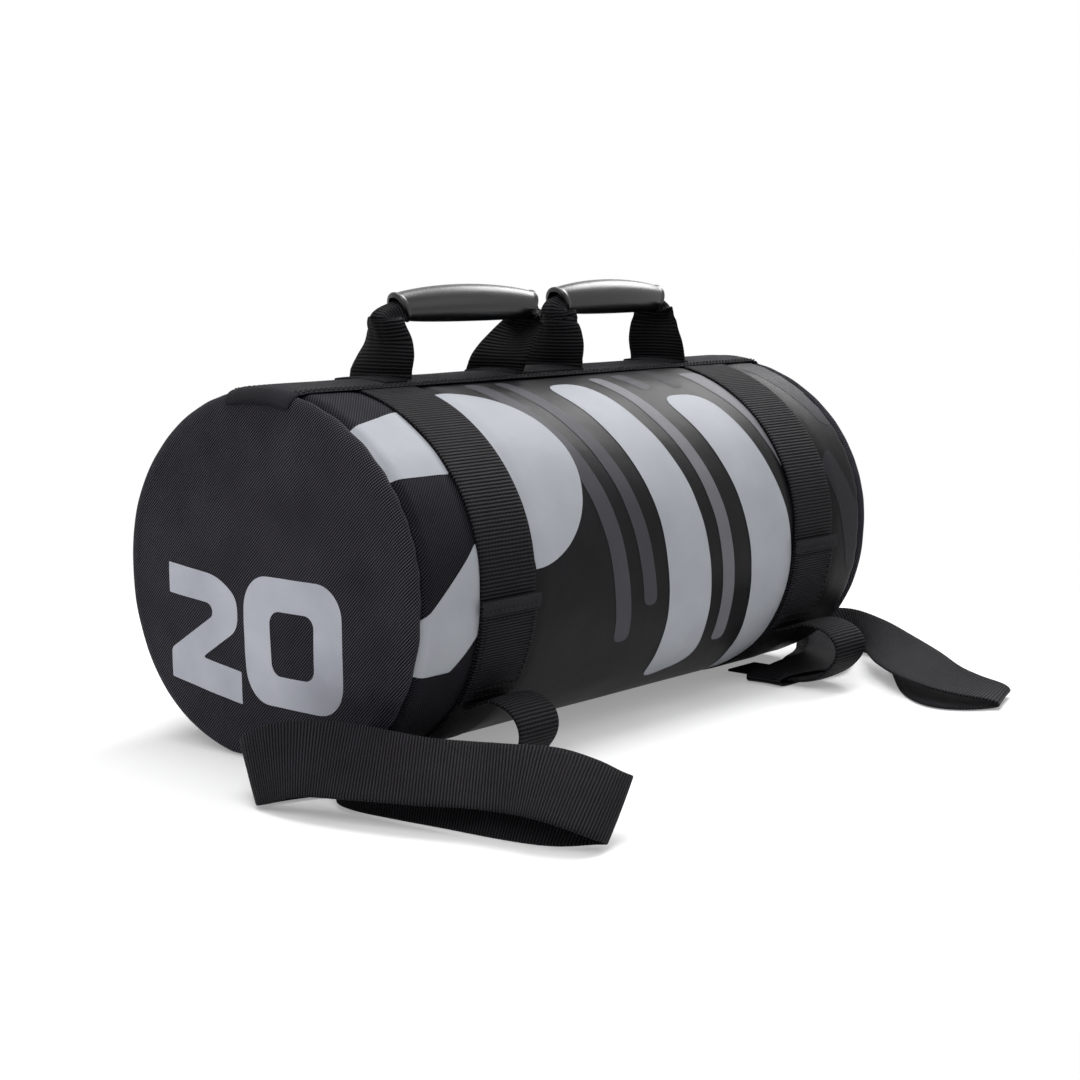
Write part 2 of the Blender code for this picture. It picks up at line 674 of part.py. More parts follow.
def patch_foot():
    """The lower edge of a patch, on its outside."""
    return on_bag(0.0, -CLEARANCE - WEBBING / 2, -PATCH_BOTTOM_ANGLE)


def make_link(where, group):
    """The end of the strap's webbing, out of the patch and back under the bag."""
    foot = patch_foot()
    end = ENDS[where]
    centre = end * STRAP_CENTRES[where]
    inner, outer = centre - end * LINK_WIDTH / 2, centre + end * LINK_WIDTH / 2
    route = []
    for out, height in LINK_ROUTE_SHARES:
        reach = LINK_REACHES[where] if out > 0 else LINK_TUCK
        route.append((foot.y - out * reach, foot.z * height))
    feet = [Vector((inner, y, z)) for y, z in route]
    tops = [Vector((outer, y, z)) for y, z in route]
    pivot = Vector((centre, route[0][0], route[0][1]))
    make_ribbon(f"{where}_link_loop", feet, tops, False, pivot, group, per_span=1)


def loop_place(where, row):
    along, side, height = row
    strap = STRAP_CENTRES[where]
    if along <= 1:
        x = strap + along * (HALF_LENGTH - strap)
    else:
        x = HALF_LENGTH + (along - 1) * LOOP_PAST_ENDS[where]
    return Vector((ENDS[where] * x, patch_foot().y - side * LOOP_SIDE_REACH, height * WEBBING_WIDTH))


def make_hand_loop(where, rows, group):
    """The long closed loop for the hand, threaded round the link."""
    feet = [loop_place(where, row[0]) for row in rows]
    tops = [loop_place(where, row[1]) for row in rows]
    pivot = (feet[1] + tops[1]) / 2
    pivot.z = patch_foot().z * LINK_ROUTE_SHARES[-1][1]
    make_ribbon(f"{where}_hand_loop", feet, tops, True, pivot, group)


def main():
    clear_scene()
    parts = new_collection("sandbag_trainer")
    cutters = new_collection("cutters")
    make_panel(parts)
    make_top_strip(parts)
    make_lining(parts)
    make_sack(parts)
    make_tie(parts, cutters)
    make_filling(parts)
    inner_foot = HANDLE_OFFSET - HANDLE_SPAN / 2
    outer_foot = HANDLE_OFFSET + HANDLE_SPAN / 2
    make_tape("centre_handle_tape", -inner_foot - TAPE_OVERHANG, inner_foot + TAPE_OVERHANG, parts)
    for where, end in ENDS.items():
        make_end_cap(f"{where}_end_cap", end, parts)
        make_foam_pad(f"{where}_foam_pad", end, parts)
        make_strap(f"{where}_strap", end * STRAP_CENTRES[where], parts)
        make_patch(f"{where}_patch", end * STRAP_CENTRES[where], parts)
        foot_ends = sorted((end * (outer_foot - TAPE_OVERHANG), end * (outer_foot + TAPE_FOOT)))
        make_tape(f"{where}_handle_tape", foot_ends[0], foot_ends[1], parts)
        for side in LEG_SIDES:
            make_leg(where, side, parts)
        make_grip(where, parts)
        make_core(where, parts)
        make_link(where, parts)
    make_hand_loop("front", FRONT_LOOP_SHARES, parts)
    make_hand_loop("rear", REAR_LOOP_SHARES, parts)


main()
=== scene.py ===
"""Dresses the packed sandbag trainer in its real fabrics, webbing and rubber, and lights it for a studio picture."""
import logging
import math
from bisect import bisect_right
from dataclasses import dataclass, field
from enum import Enum
from typing import Callable, Iterable, Sequence

import bmesh
import bpy
from mathutils import Matrix, Vector, noise


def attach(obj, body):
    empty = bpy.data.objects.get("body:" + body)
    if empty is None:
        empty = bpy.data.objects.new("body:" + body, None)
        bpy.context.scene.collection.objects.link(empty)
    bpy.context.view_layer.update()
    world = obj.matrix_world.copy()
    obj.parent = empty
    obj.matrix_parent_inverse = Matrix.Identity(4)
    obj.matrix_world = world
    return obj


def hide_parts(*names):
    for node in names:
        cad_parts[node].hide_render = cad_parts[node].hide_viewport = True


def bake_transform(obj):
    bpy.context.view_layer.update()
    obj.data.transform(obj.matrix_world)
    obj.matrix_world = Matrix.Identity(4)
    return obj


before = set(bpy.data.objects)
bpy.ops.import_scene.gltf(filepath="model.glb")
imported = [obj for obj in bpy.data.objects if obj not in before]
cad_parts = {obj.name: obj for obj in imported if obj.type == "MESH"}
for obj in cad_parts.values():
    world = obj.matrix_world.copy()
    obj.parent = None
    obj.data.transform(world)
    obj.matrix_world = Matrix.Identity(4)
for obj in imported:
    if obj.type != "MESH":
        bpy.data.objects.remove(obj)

LOG = logging.getLogger("sandbag")
MM = 0.001
MERGE = 0.00001

Outline = list[tuple[float, float]]
Place = Callable[[float, float], Vector]
Spot = tuple[float, float, float]


class End(Enum):
    """The two ends of the bag; the value is the sign of X."""

    FRONT = -1
    REAR = 1

    @property
    def label(self) -> str:
        """The end's word in the names of its pieces."""
        return self.name.lower()


class Leg(Enum):
    """The two legs of a handle; the value is 1 on the side away from the bag's middle."""

    OUTER = 1
    INNER = -1

    @property
    def label(self) -> str:
        """The leg's word in the names of its pieces."""
        return self.name.lower()


def linear(hex_colour: str) -> tuple[float, float, float, float]:
    """Turns an sRGB colour such as "#2b2a2d" into linear values.

    Args:
        hex_colour: Six hex digits after a hash.

    Returns:
        Red, green, blue and an alpha of 1.
    """
    parts = [int(hex_colour[i:i + 2], 16) / 255 for i in (1, 3, 5)]
    red, green, blue = (p / 12.92 if p <= 0.04045 else ((p + 0.055) / 1.055) ** 2.4 for p in parts)
    return red, green, blue, 1.0


def mix(low: float, high: float, share: float) -> float:
    """The value a share of the way from low to high."""
    return low + (high - low) * share


def ease(share: float) -> float:
    """A smooth step from 0 to 1."""
    share = min(max(share, 0.0), 1.0)
    return share * share * (3 - 2 * share)


# Materials


def feed(tree: bpy.types.NodeTree, node: bpy.types.Node, inputs: dict) -> None:
    """Links or sets a node's inputs.

    Args:
        tree: The node's tree.
        node: The node that is fed.
        inputs: By name or number, a node whose first output is linked, another output, or a plain value.
    """
    for key, value in inputs.items():
        if isinstance(value, bpy.types.Node):
            value = value.outputs[0]
        if isinstance(value, bpy.types.NodeSocket):
            tree.links.new(value, node.inputs[key])
        else:
            node.inputs[key].default_value = value


def add(tree: bpy.types.NodeTree, kind: str, inputs: dict | None = None,
        stops: Sequence[tuple[float, str]] = (), **settings: object) -> bpy.types.Node:
    """Adds a node with its settings and links.

    Args:
        tree: The tree that it joins.
        kind: Its type, without the leading ShaderNode.
        inputs: What feeds it, as for feed.
        stops: For a colour ramp, the place and the hex colour of its two ends.
        **settings: Attributes of the node.

    Returns:
        The new node.
    """
    node = tree.nodes.new(f"ShaderNode{kind}")
    for name, value in settings.items():
        setattr(node, name, value)
    for index, (place, colour) in enumerate(stops):
        node.color_ramp.elements[index].position = place
        node.color_ramp.elements[index].color = linear(colour)
    feed(tree, node, inputs or {})
    return node


def rows(tree: bpy.types.NodeTree, length: bpy.types.Node | bpy.types.NodeSocket, pitch: float,
         phase: bpy.types.Node | float = 0.0) -> bpy.types.Node:
    """Rows of yarns or ribs.

    Args:
        tree: The material's tree.
        length: The length across the rows, in metres.
        pitch: From one row to the next, in metres.
        phase: How far each place is shifted along the rows, in radians.

    Returns:
        A node that gives 1 on a crown and 0 between two of them.
    """
    turned = add(tree, "Math", {0: length, 1: math.tau / pitch, 2: phase}, operation="MULTIPLY_ADD")
    swing = add(tree, "Math", {0: turned}, operation="SINE")
    return add(tree, "Math", {0: swing, 1: 0.5, 2: 0.5}, operation="MULTIPLY_ADD")


def shows_background(tree: bpy.types.NodeTree) -> bpy.types.Node:
    """Tells the rays that show the plain background from those that light things.

    Args:
        tree: A material's tree, or the world's.

    Returns:
        A node that gives 1 for a ray from the camera, off a shiny surface or through a clear one.
    """
    paths = add(tree, "LightPath")
    seen = paths.outputs["Is Camera Ray"]
    for ray in ("Is Glossy Ray", "Is Transmission Ray"):
        seen = add(tree, "Math", {0: seen, 1: paths.outputs[ray]}, operation="MAXIMUM")
    return seen


@dataclass(frozen=True)
class Finish:
    """What every finish has: a name, and patterns that feed its shader."""

    name: str

    def make(self) -> bpy.types.Material:
        """Makes the material.

        Returns:
            The material, with its patterns linked to its shader.
        """
        material = bpy.data.materials.new(self.name)
        material.use_nodes = True
        tree = material.node_tree
        feed(tree, tree.nodes["Principled BSDF"], self.patterns(tree))
        return material

    def patterns(self, tree: bpy.types.NodeTree) -> dict:
        """What feeds the shader, by the names of its inputs."""
        raise NotImplementedError


@dataclass(frozen=True)
class SatinCoating(Finish):
    """Coated polyester, or the flat print on it: a faint plain weave under a satin film.

    The film gives the eye one broad, dull sheen, and the weave only shows close by.
    """

    colour: str
    worn: str
    roughness: float
    weave_pitch: float = 0.0009

    def patterns(self, tree: bpy.types.NodeTree) -> dict:
        """Draws the weave, the soft folds and the worn clouds.

        Args:
            tree: The material's node tree.

        Returns:
            What feeds the shader, by the names of its inputs.
        """
        places = add(tree, "TexCoord")
        lengths = add(tree, "SeparateXYZ", {0: places.outputs["UV"]})
        warp, weft = (rows(tree, lengths.outputs[axis], self.weave_pitch) for axis in (0, 1))
        weave = add(tree, "Math", {0: warp, 1: weft}, operation="MULTIPLY")
        cloud = add(tree, "TexNoise", {"Vector": places.outputs["Object"], "Scale": 22.0, "Detail": 4.0})
        soft = add(tree, "TexNoise", {"Vector": places.outputs["Object"], "Scale": 60.0, "Detail": 2.0})
        folds = add(tree, "Bump", {"Height": soft, "Distance": 0.0009, "Strength": 0.35})
        return {
            "Base Color": add(tree, "ValToRGB", {0: cloud}, ((0.35, self.colour), (0.75, self.worn))),
            "Roughness": add(tree, "MapRange", {0: cloud, 3: self.roughness - 0.05, 4: self.roughness + 0.07}),
            "Normal": add(tree, "Bump", {"Height": weave, "Distance": 0.00008, "Strength": 0.35, "Normal": folds}),
            "Specular IOR Level": 0.07,
        }


@dataclass(frozen=True)
class HeavyTwill(Finish):
    """Coarse woven polyester.

    Its bright crowns of yarn on a black ground give the eye a grain of small slanting steps, without sheen.
    """

    ground: str
    crown: str
    yarn: float
    roughness: float = 0.72

    def patterns(self, tree: bpy.types.NodeTree) -> dict:
        """Draws the slanting steps of yarn, their fuzz and the soft folds.

        Args:
            tree: The material's node tree.

        Returns:
            What feeds the shader, by the names of its inputs.
        """
        places = add(tree, "TexCoord")
        lengths = add(tree, "SeparateXYZ", {0: places.outputs["UV"]})
        u, v = lengths.outputs[0], lengths.outputs[1]
        rising = add(tree, "Math", {0: u, 1: v}, operation="ADD")
        falling = add(tree, "Math", {0: u, 1: v}, operation="SUBTRACT")
        shift = add(tree, "Math", {0: u, 1: math.pi / self.yarn / 3}, operation="MULTIPLY")
        ridges = rows(tree, rising, self.yarn * 2)
        steps = add(tree, "MapRange", {0: rows(tree, falling, self.yarn * 2, shift), 3: 0.35, 4: 1.0})
        crowns = add(tree, "Math", {0: ridges, 1: steps}, operation="MULTIPLY")
        fuzz = add(tree, "TexNoise", {"Vector": places.outputs["UV"], "Scale": 900.0, "Detail": 2.0})
        height = add(tree, "Math", {0: fuzz, 1: 0.35, 2: crowns}, operation="MULTIPLY_ADD")
        cloud = add(tree, "TexNoise", {"Vector": places.outputs["Object"], "Scale": 26.0, "Detail": 3.0})
        shade = add(tree, "MapRange", {0: cloud, 3: 0.55, 4: 1.15})
        tint = add(tree, "Math", {0: crowns, 1: shade}, operation="MULTIPLY")
        soft = add(tree, "TexNoise", {"Vector": places.outputs["Object"], "Scale": 34.0, "Detail": 2.0})
        folds = add(tree, "Bump", {"Height": soft, "Distance": 0.0010, "Strength": 0.3})
        return {
            "Base Color": add(tree, "ValToRGB", {0: tint}, ((0.10, self.ground), (0.85, self.crown))),
            "Roughness": self.roughness,
            "Normal": add(tree, "Bump", {"Height": height, "Distance": 0.00028, "Strength": 0.9, "Normal": folds}),
            "Specular IOR Level": 0.05,
        }


@dataclass(frozen=True)
class RibbedWebbing(Finish):
    """Woven polyester strap.

    Its ribs give the eye a ladder of dull highlights across the strap, each broken up by the yarns side by side.
    """

    ground: str
    crown: str
    rib: float
    yarn: float = 0.0013
    depth: float = 0.00055
    roughness: float = 0.62

    def patterns(self, tree: bpy.types.NodeTree) -> dict:
        """Draws the ribs and the yarns that make them.

        Args:
            tree: The material's node tree.

        Returns:
            What feeds the shader, by the names of its inputs.
        """
        places = add(tree, "TexCoord")
        lengths = add(tree, "SeparateXYZ", {0: places.outputs["UV"]})
        u, v = lengths.outputs[0], lengths.outputs[1]
        stray = add(tree, "TexNoise", {"Vector": places.outputs["UV"], "Scale": 140.0, "Detail": 2.0})
        along = add(tree, "Math", {0: stray, 1: 0.0006, 2: u}, operation="MULTIPLY_ADD")
        ribs = rows(tree, along, self.rib)
        shift = add(tree, "Math", {0: u, 1: math.pi / self.rib}, operation="MULTIPLY")
        yarns = rows(tree, v, self.yarn, shift)
        height = add(tree, "Math", {0: yarns, 1: 0.38, 2: ribs}, operation="MULTIPLY_ADD")
        gaps = add(tree, "MapRange", {0: yarns, 3: 0.55, 4: 1.0})
        cloud = add(tree, "TexNoise", {"Vector": places.outputs["Object"], "Scale": 45.0, "Detail": 3.0})
        wear = add(tree, "MapRange", {0: cloud, 3: 0.65, 4: 1.2})
        lit = add(tree, "Math", {0: ribs, 1: gaps}, operation="MULTIPLY")
        shade = add(tree, "Math", {0: lit, 1: wear}, operation="MULTIPLY")
        return {
            "Base Color": add(tree, "ValToRGB", {0: shade}, ((0.12, self.ground), (0.95, self.crown))),
            "Roughness": self.roughness,
            "Normal": add(tree, "Bump", {"Height": height, "Distance": self.depth, "Strength": 0.85}),
            "Specular IOR Level": 0.05,
        }


@dataclass(frozen=True)
class SatinRubber(Finish):
    """Moulded grip rubber.

    Its satin skin gives the eye a soft streak of light along the top, dulled here and there by handling.
    """

    colour: str
    rubbed: str
    roughness: float

    def patterns(self, tree: bpy.types.NodeTree) -> dict:
        """Draws the handling marks and the mould's fine grain.

        Args:
            tree: The material's node tree.

        Returns:
            What feeds the shader, by the names of its inputs.
        """
        place = add(tree, "TexCoord").outputs["Object"]
        cloud = add(tree, "TexNoise", {"Vector": place, "Scale": 55.0, "Detail": 4.0})
        grain = add(tree, "TexNoise", {"Vector": place, "Scale": 2600.0, "Detail": 2.0})
        return {
            "Base Color": add(tree, "ValToRGB", {0: cloud}, ((0.3, self.colour), (0.8, self.rubbed))),
            "Roughness": add(tree, "MapRange", {0: cloud, 3: self.roughness - 0.06, 4: self.roughness + 0.1}),
            "Normal": add(tree, "Bump", {"Height": grain, "Distance": 0.00002, "Strength": 0.06}),
            "Specular IOR Level": 0.5,
        }


@dataclass(frozen=True)
class Grained(Finish):
    """A plain stuff, such as foam, film, sand or sewing thread, whose fine grain breaks up its colour."""

    colour: str
    other: str
    scale: float
    depth: float
    roughness: float

    def patterns(self, tree: bpy.types.NodeTree) -> dict:
        """Draws the grain.

        Args:
            tree: The material's node tree.

        Returns:
            What feeds the shader, by the names of its inputs.
        """
        place = add(tree, "TexCoord").outputs["Object"]
        grain = add(tree, "TexNoise", {"Vector": place, "Scale": self.scale, "Detail": 5.0})
        return {
            "Base Color": add(tree, "ValToRGB", {0: grain}, ((0.3, self.colour), (0.7, self.other))),
            "Roughness": self.roughness,
            "Normal": add(tree, "Bump", {"Height": grain, "Distance": self.depth, "Strength": 0.6}),
            "Specular IOR Level": 0.2,
        }


class Finishes:
    """Every material of the bag, made once."""

    def __init__(self) -> None:
        """Makes them all."""
        # Polyester cloth with a smooth coating: nearly black, with one broad dull sheen along the bag's shoulder
        self.panel = SatinCoating("coated_polyester", "#0b0b0d", "#121114", 0.44).make()
        # Screen-printed inks on that coating: flat greys that hide the weave and shine a little less
        self.print_light = SatinCoating("print_light_grey", "#909399", "#999ca2", 0.52).make()
        self.print_mid = SatinCoating("print_mid_grey", "#5c5c61", "#65656a", 0.50).make()
        self.print_dark = SatinCoating("print_dark_grey", "#38373c", "#3f3e43", 0.50).make()
        self.print_faint = SatinCoating("print_faint_grey", "#1f1e22", "#252428", 0.50).make()
        # Heavy woven polyester with 1.1 mm yarns: the coarse grey-on-black grain of the end caps
        self.cap = HeavyTwill("cap_polyester", "#010102", "#53515a", 0.0011).make()
        # The same cloth in front of the front strap, its crowns painted darker than the caps' as painted shade, where
        # the light barely reaches them
        self.band = HeavyTwill("band_polyester_painted_shade", "#010102", "#34333a", 0.0011).make()
        # A tighter weave with 0.7 mm yarns: the finer, more even grain of the top strip
        self.strip = HeavyTwill("strip_polyester", "#030304", "#46454b", 0.0007).make()
        # Screen-printed ink that fills the caps' weave: a cool pale grey, the lightest thing on the cap
        self.numeral = SatinCoating("numeral_ink", "#a2a4ae", "#b4b6bf", 0.55, 0.0017).make()
        # Woven polyester webbing with 2.4 mm ribs: a ladder of dull cross ribs down the straps
        self.webbing = RibbedWebbing("strap_webbing", "#000000", "#2b2a2e", 0.0024).make()
        # The same webbing in the handles, as a copy with its crowns painted a touch darker: painted shade
        self.handle_webbing_painted_shade = RibbedWebbing("handle_webbing_painted_shade", "#000000", "#2a2a2d", 0.0024).make()
        # Finer webbing with 1.9 mm ribs: the closer, shallower ladder of the hand loops
        self.loop_webbing = RibbedWebbing("loop_webbing", "#000000", "#302e33", 0.0019, 0.0012, 0.00045).make()
        # Moulded synthetic rubber of the grips: black, with a soft streak of light along the top
        self.grip = SatinRubber("grip_rubber", "#030304", "#09090b", 0.29).make()
        # Bonded polyester thread: rows of small black dots with no sheen
        self.thread = Grained("sewing_thread", "#040405", "#151517", 3000.0, 0.0001, 0.8).make()
        # Closed-cell polyethylene foam: pale grey and quite matt, with pores too fine to count
        self.foam = Grained("closed_cell_foam", "#9a9a9c", "#b0b0b2", 1500.0, 0.0002, 0.95).make()
        # Blown polyethylene film of the sack: pale and smooth, with a little shine
        self.film = Grained("sack_film", "#b4b8ba", "#c2c5c8", 200.0, 0.0002, 0.35).make()
        # Dried silica sand, its grain drawn a little coarse: a warm mixed tone with no sheen
        self.sand = Grained("dry_sand", "#a38f6c", "#c5b48f", 2500.0, 0.0004, 0.95).make()
        # Moulded nylon of the cable tie: off-white and slightly glossy
        self.nylon = Grained("nylon_tie", "#dcdcd6", "#e6e6e2", 800.0, 0.00005, 0.4).make()


# Meshes


def new_object(name: str, shape: bmesh.types.BMesh, look: bpy.types.Material) -> bpy.types.Object:
    """Turns a bmesh into a smooth-shaded object in the scene.

    Args:
        name: The object's name.
        shape: The bmesh, which is used up.
        look: Its material.

    Returns:
        The new object.
    """
    mesh = bpy.data.meshes.new(name)
    shape.to_mesh(mesh)
    shape.free()
    mesh.shade_smooth()
    mesh.materials.append(look)
    made = bpy.data.objects.new(name, mesh)
    bpy.context.scene.collection.objects.link(made)
    return made


def lofted(name: str, rings: Sequence[Sequence[Vector]], uvs: Sequence[Sequence[tuple[float, float]]],
           look: bpy.types.Material, closed: bool = False, round_ring: bool = True,
           capped: bool = True) -> bpy.types.Object:
    """A surface through rows of points.

    Args:
        name: The piece's name.
        rings: Rows of as many points each.
        uvs: A length and a width in metres for each point.
        look: Its material.
        closed: True if the last row runs back into the first.
        round_ring: True if each row is a closed ring.
        capped: True if open ends are filled.

    Returns:
        The new object.
    """
    count, around = len(rings), len(rings[0])
    spans = count if closed else count - 1
    cells = around if round_ring else around - 1
    shape = bmesh.new()
    # The grid is made 1 m square, so that a corner's place in it tells its row and column
    half = 0.5
    bmesh.ops.create_grid(shape, x_segments=spans, y_segments=cells, size=half)
    layer = shape.loops.layers.uv.new("UVMap")
    places = {vert: (round((vert.co.x + half) * spans), round((vert.co.y + half) * cells)) for vert in shape.verts}
    for face in shape.faces:
        for loop in face.loops:
            row, column = places[loop.vert]
            loop[layer].uv = uvs[min(row, len(uvs) - 1)][min(column, len(uvs[0]) - 1)]
    for vert, (row, column) in places.items():
        vert.co = rings[row % count][column % around]
    bmesh.ops.remove_doubles(shape, verts=shape.verts, dist=MERGE)
    if capped:
        edges = [edge for edge in shape.edges if edge.is_boundary]
        if edges:
            bmesh.ops.holes_fill(shape, edges=edges, sides=0)
    bmesh.ops.recalc_face_normals(shape, faces=shape.faces)
    return new_object(name, shape, look)


def eased(points: Sequence[Vector], closed: bool, per_span: int) -> list[Vector]:
    """Points along a smooth curve through the given ones.

    Args:
        points: What the curve runs through.
        closed: True if the last runs back into the first.
        per_span: How many points each span gets.

    Returns:
        The curve's points.
    """
    count = len(points)
    curve = []
    for index in range(count if closed else count - 1):
        near = []
        for shift in (-1, 0, 1, 2):
            place = (index + shift) % count if closed else min(max(index + shift, 0), count - 1)
            near.append(points[place])
        for step in range(per_span):
            t = step / per_span
            slope = (near[2] - near[0]) * t
            bend = (near[0] * 2 - near[1] * 5 + near[2] * 4 - near[3]) * t ** 2
            twist = (near[1] * 3 - near[0] - near[2] * 3 + near[3]) * t ** 3
            curve.append((near[1] * 2 + slope + bend + twist) / 2)
    if not closed:
        curve.append(points[-1].copy())
    return curve


@dataclass(frozen=True)
class Band:
    """One line across a strip of webbing."""

    foot: Vector
    top: Vector
    curl: float = 0.0

    def at(self, share: float, normal: Vector, height: float) -> Vector:
        """A point across it, from foot (0) to top (1), raised by a height and by the bow of its curl."""
        bow = 4 * share * (1 - share) * self.curl
        return self.foot.lerp(self.top, share) + normal * (height + bow)


@dataclass
class Webbing:
    """A strip with real thickness and rounded edges through lines across it."""

    name: str
    look: bpy.types.Material
    thickness: float = 0.0019
    closed: bool = False
    per_span: int = 6
    cells: int = 10
    # How far the rounding of an edge has come in, as shares of half the thickness, at its one point between
    edge_in: float = 0.28
    edge_up: float = 0.7

    def build(self, bands: Sequence[Band]) -> bpy.types.Object:
        """Makes the strip.

        Args:
            bands: The lines across it, in order.

        Returns:
            The new object, with lengths in metres as its UV.
        """
        feet = eased([band.foot for band in bands], self.closed, self.per_span)
        tops = eased([band.top for band in bands], self.closed, self.per_span)
        bows = eased([Vector((band.curl, 0, 0)) for band in bands], self.closed, self.per_span)
        count = len(feet)
        rings, uvs, length = [], [], 0.0
        for index in range(count):
            before = (index - 1) % count if self.closed else max(index - 1, 0)
            after = (index + 1) % count if self.closed else min(index + 1, count - 1)
            run = feet[after] + tops[after] - feet[before] - tops[before]
            across = tops[index] - feet[index]
            normal = run.cross(across).normalized()
            band = Band(feet[index], tops[index], bows[index].x)
            ring, uv = self._section(band, normal, across.length, length)
            rings.append(ring)
            uvs.append(uv)
            length += run.length / 4
        if self.closed:
            uvs.append([(length, v) for _, v in uvs[0]])
        uvs = [row + [row[0]] for row in uvs]
        return lofted(self.name, rings, uvs, self.look, self.closed)

    def _section(self, band: Band, normal: Vector, width: float, length: float) -> tuple[list[Vector], Outline]:
        """Goes once round the strip at one line across it.

        Args:
            band: The line.
            normal: The direction out of the strip.
            width: The strip's width there.
            length: The length along the strip so far.

        Returns:
            The points, and each one's length and width for the UV map.
        """
        half = self.thickness / 2
        edge = half / max(width, half * 4)
        shares = [mix(edge, 1 - edge, cell / self.cells) for cell in range(self.cells + 1)]
        near, drop = edge * self.edge_in, half * self.edge_up
        outline = [(share, half) for share in shares]
        outline += [(1 - near, drop), (1.0, 0.0), (1 - near, -drop)]
        outline += [(mix(1 - edge, edge, cell / self.cells), -half) for cell in range(self.cells + 1)]
        outline += [(near, -drop), (0.0, 0.0), (near, drop)]
        ring = [band.at(share, normal, height) for share, height in outline]
        return ring, [(length, (share - 0.5) * width) for share, _ in outline]


def stitches(name: str, look: bpy.types.Material, runs: Iterable[Sequence[tuple[Vector, Vector]]],
             pitch: float = 0.0042, length: float = 0.0031, radius: float = 0.00042) -> bpy.types.Object:
    """Sewing thread laid in even stitches.

    Args:
        name: The piece's name.
        look: The thread.
        runs: Lines of (point, outward normal) pairs that the stitches follow.
        pitch: From one stitch to the next.
        length: One stitch.
        radius: Half the thread's thickness.

    Returns:
        One object with every stitch.
    """
    single = bmesh.new()
    bmesh.ops.create_uvsphere(single, u_segments=8, v_segments=5, radius=1)
    single.verts.index_update()
    knots = [vert.co.copy() for vert in single.verts]
    sides = [[vert.index for vert in face.verts] for face in single.faces]
    single.free()
    shape = bmesh.new()
    for run in runs:
        travelled, wanted = 0.0, pitch / 2
        for (start, normal), (stop, _) in zip(run, run[1:]):
            step = (stop - start).length
            if step <= 0:
                continue
            along = (stop - start) / step
            while wanted <= travelled + step:
                centre = start + along * (wanted - travelled) + normal * radius * 0.4
                side = along.cross(normal).normalized()
                turn = Matrix((along, side, along.cross(side))).transposed().to_4x4()
                place = Matrix.Translation(centre) @ turn @ Matrix.Diagonal((length / 2, radius, radius, 1))
                verts = [shape.verts.new(place @ knot) for knot in knots]
                for corners in sides:
                    shape.faces.new([verts[corner] for corner in corners])
                wanted += pitch
            travelled += step
    return new_object(name, shape, look)


def decal(name: str, look: bpy.types.Material, outlines: Iterable[Sequence[tuple[float, float]]], place: Place,
          step: float) -> bpy.types.Object:
    """A printed shape that follows a curved surface.

    Args:
        name: The piece's name.
        look: Its ink.
        outlines: Closed outlines in the surface's two lengths.
        place: Maps the two lengths to a point on the surface.
        step: How finely it is cut to follow the surface.

    Returns:
        One thin object with every shape.
    """
    shape = bmesh.new()
    for outline in outlines:
        shape.faces.new([shape.verts.new((u, v, 0)) for u, v in outline])
    shape.normal_update()
    bmesh.ops.triangulate(shape, faces=shape.faces, ngon_method="EAR_CLIP")
    for axis in (0, 1):
        values = [vert.co[axis] for vert in shape.verts]
        cut = math.ceil(min(values) / step) * step
        normal = Vector((1, 0, 0)) if axis == 0 else Vector((0, 1, 0))
        while cut < max(values):
            geometry = shape.verts[:] + shape.edges[:] + shape.faces[:]
            bmesh.ops.bisect_plane(shape, geom=geometry, plane_co=normal * cut, plane_no=normal, dist=MERGE / 10)
            cut += step
    layer = shape.loops.layers.uv.new("UVMap")
    for face in shape.faces:
        for loop in face.loops:
            loop[layer].uv = (loop.vert.co.x, loop.vert.co.y)
    for vert in shape.verts:
        vert.co = place(vert.co.x, vert.co.y)
    return new_object(name, shape, look)


def rounded(corners: Sequence[tuple[float, ...]], radius: float, steps: int = 6) -> Outline:
    """Rounds the corners of an outline.

    Args:
        corners: The corners in mm, where a third number is a corner's own radius.
        radius: The radius of the others, in mm.
        steps: How many sides each corner gets.

    Returns:
        The outline in metres.
    """
    out = []
    count = len(corners)
    for index, corner in enumerate(corners):
        here = Vector(corner[:2])
        before = Vector(corners[index - 1][:2]) - here
        after = Vector(corners[(index + 1) % count][:2]) - here
        cut = min(corner[2] if len(corner) > 2 else radius, before.length / 2, after.length / 2)
        start, stop = here + before.normalized() * cut, here + after.normalized() * cut
        for step in range(steps + 1):
            t = step / steps
            point = start * (1 - t) ** 2 + here * 2 * t * (1 - t) + stop * t ** 2
            out.append((point.x * MM, point.y * MM))
    return out


# The bag's form


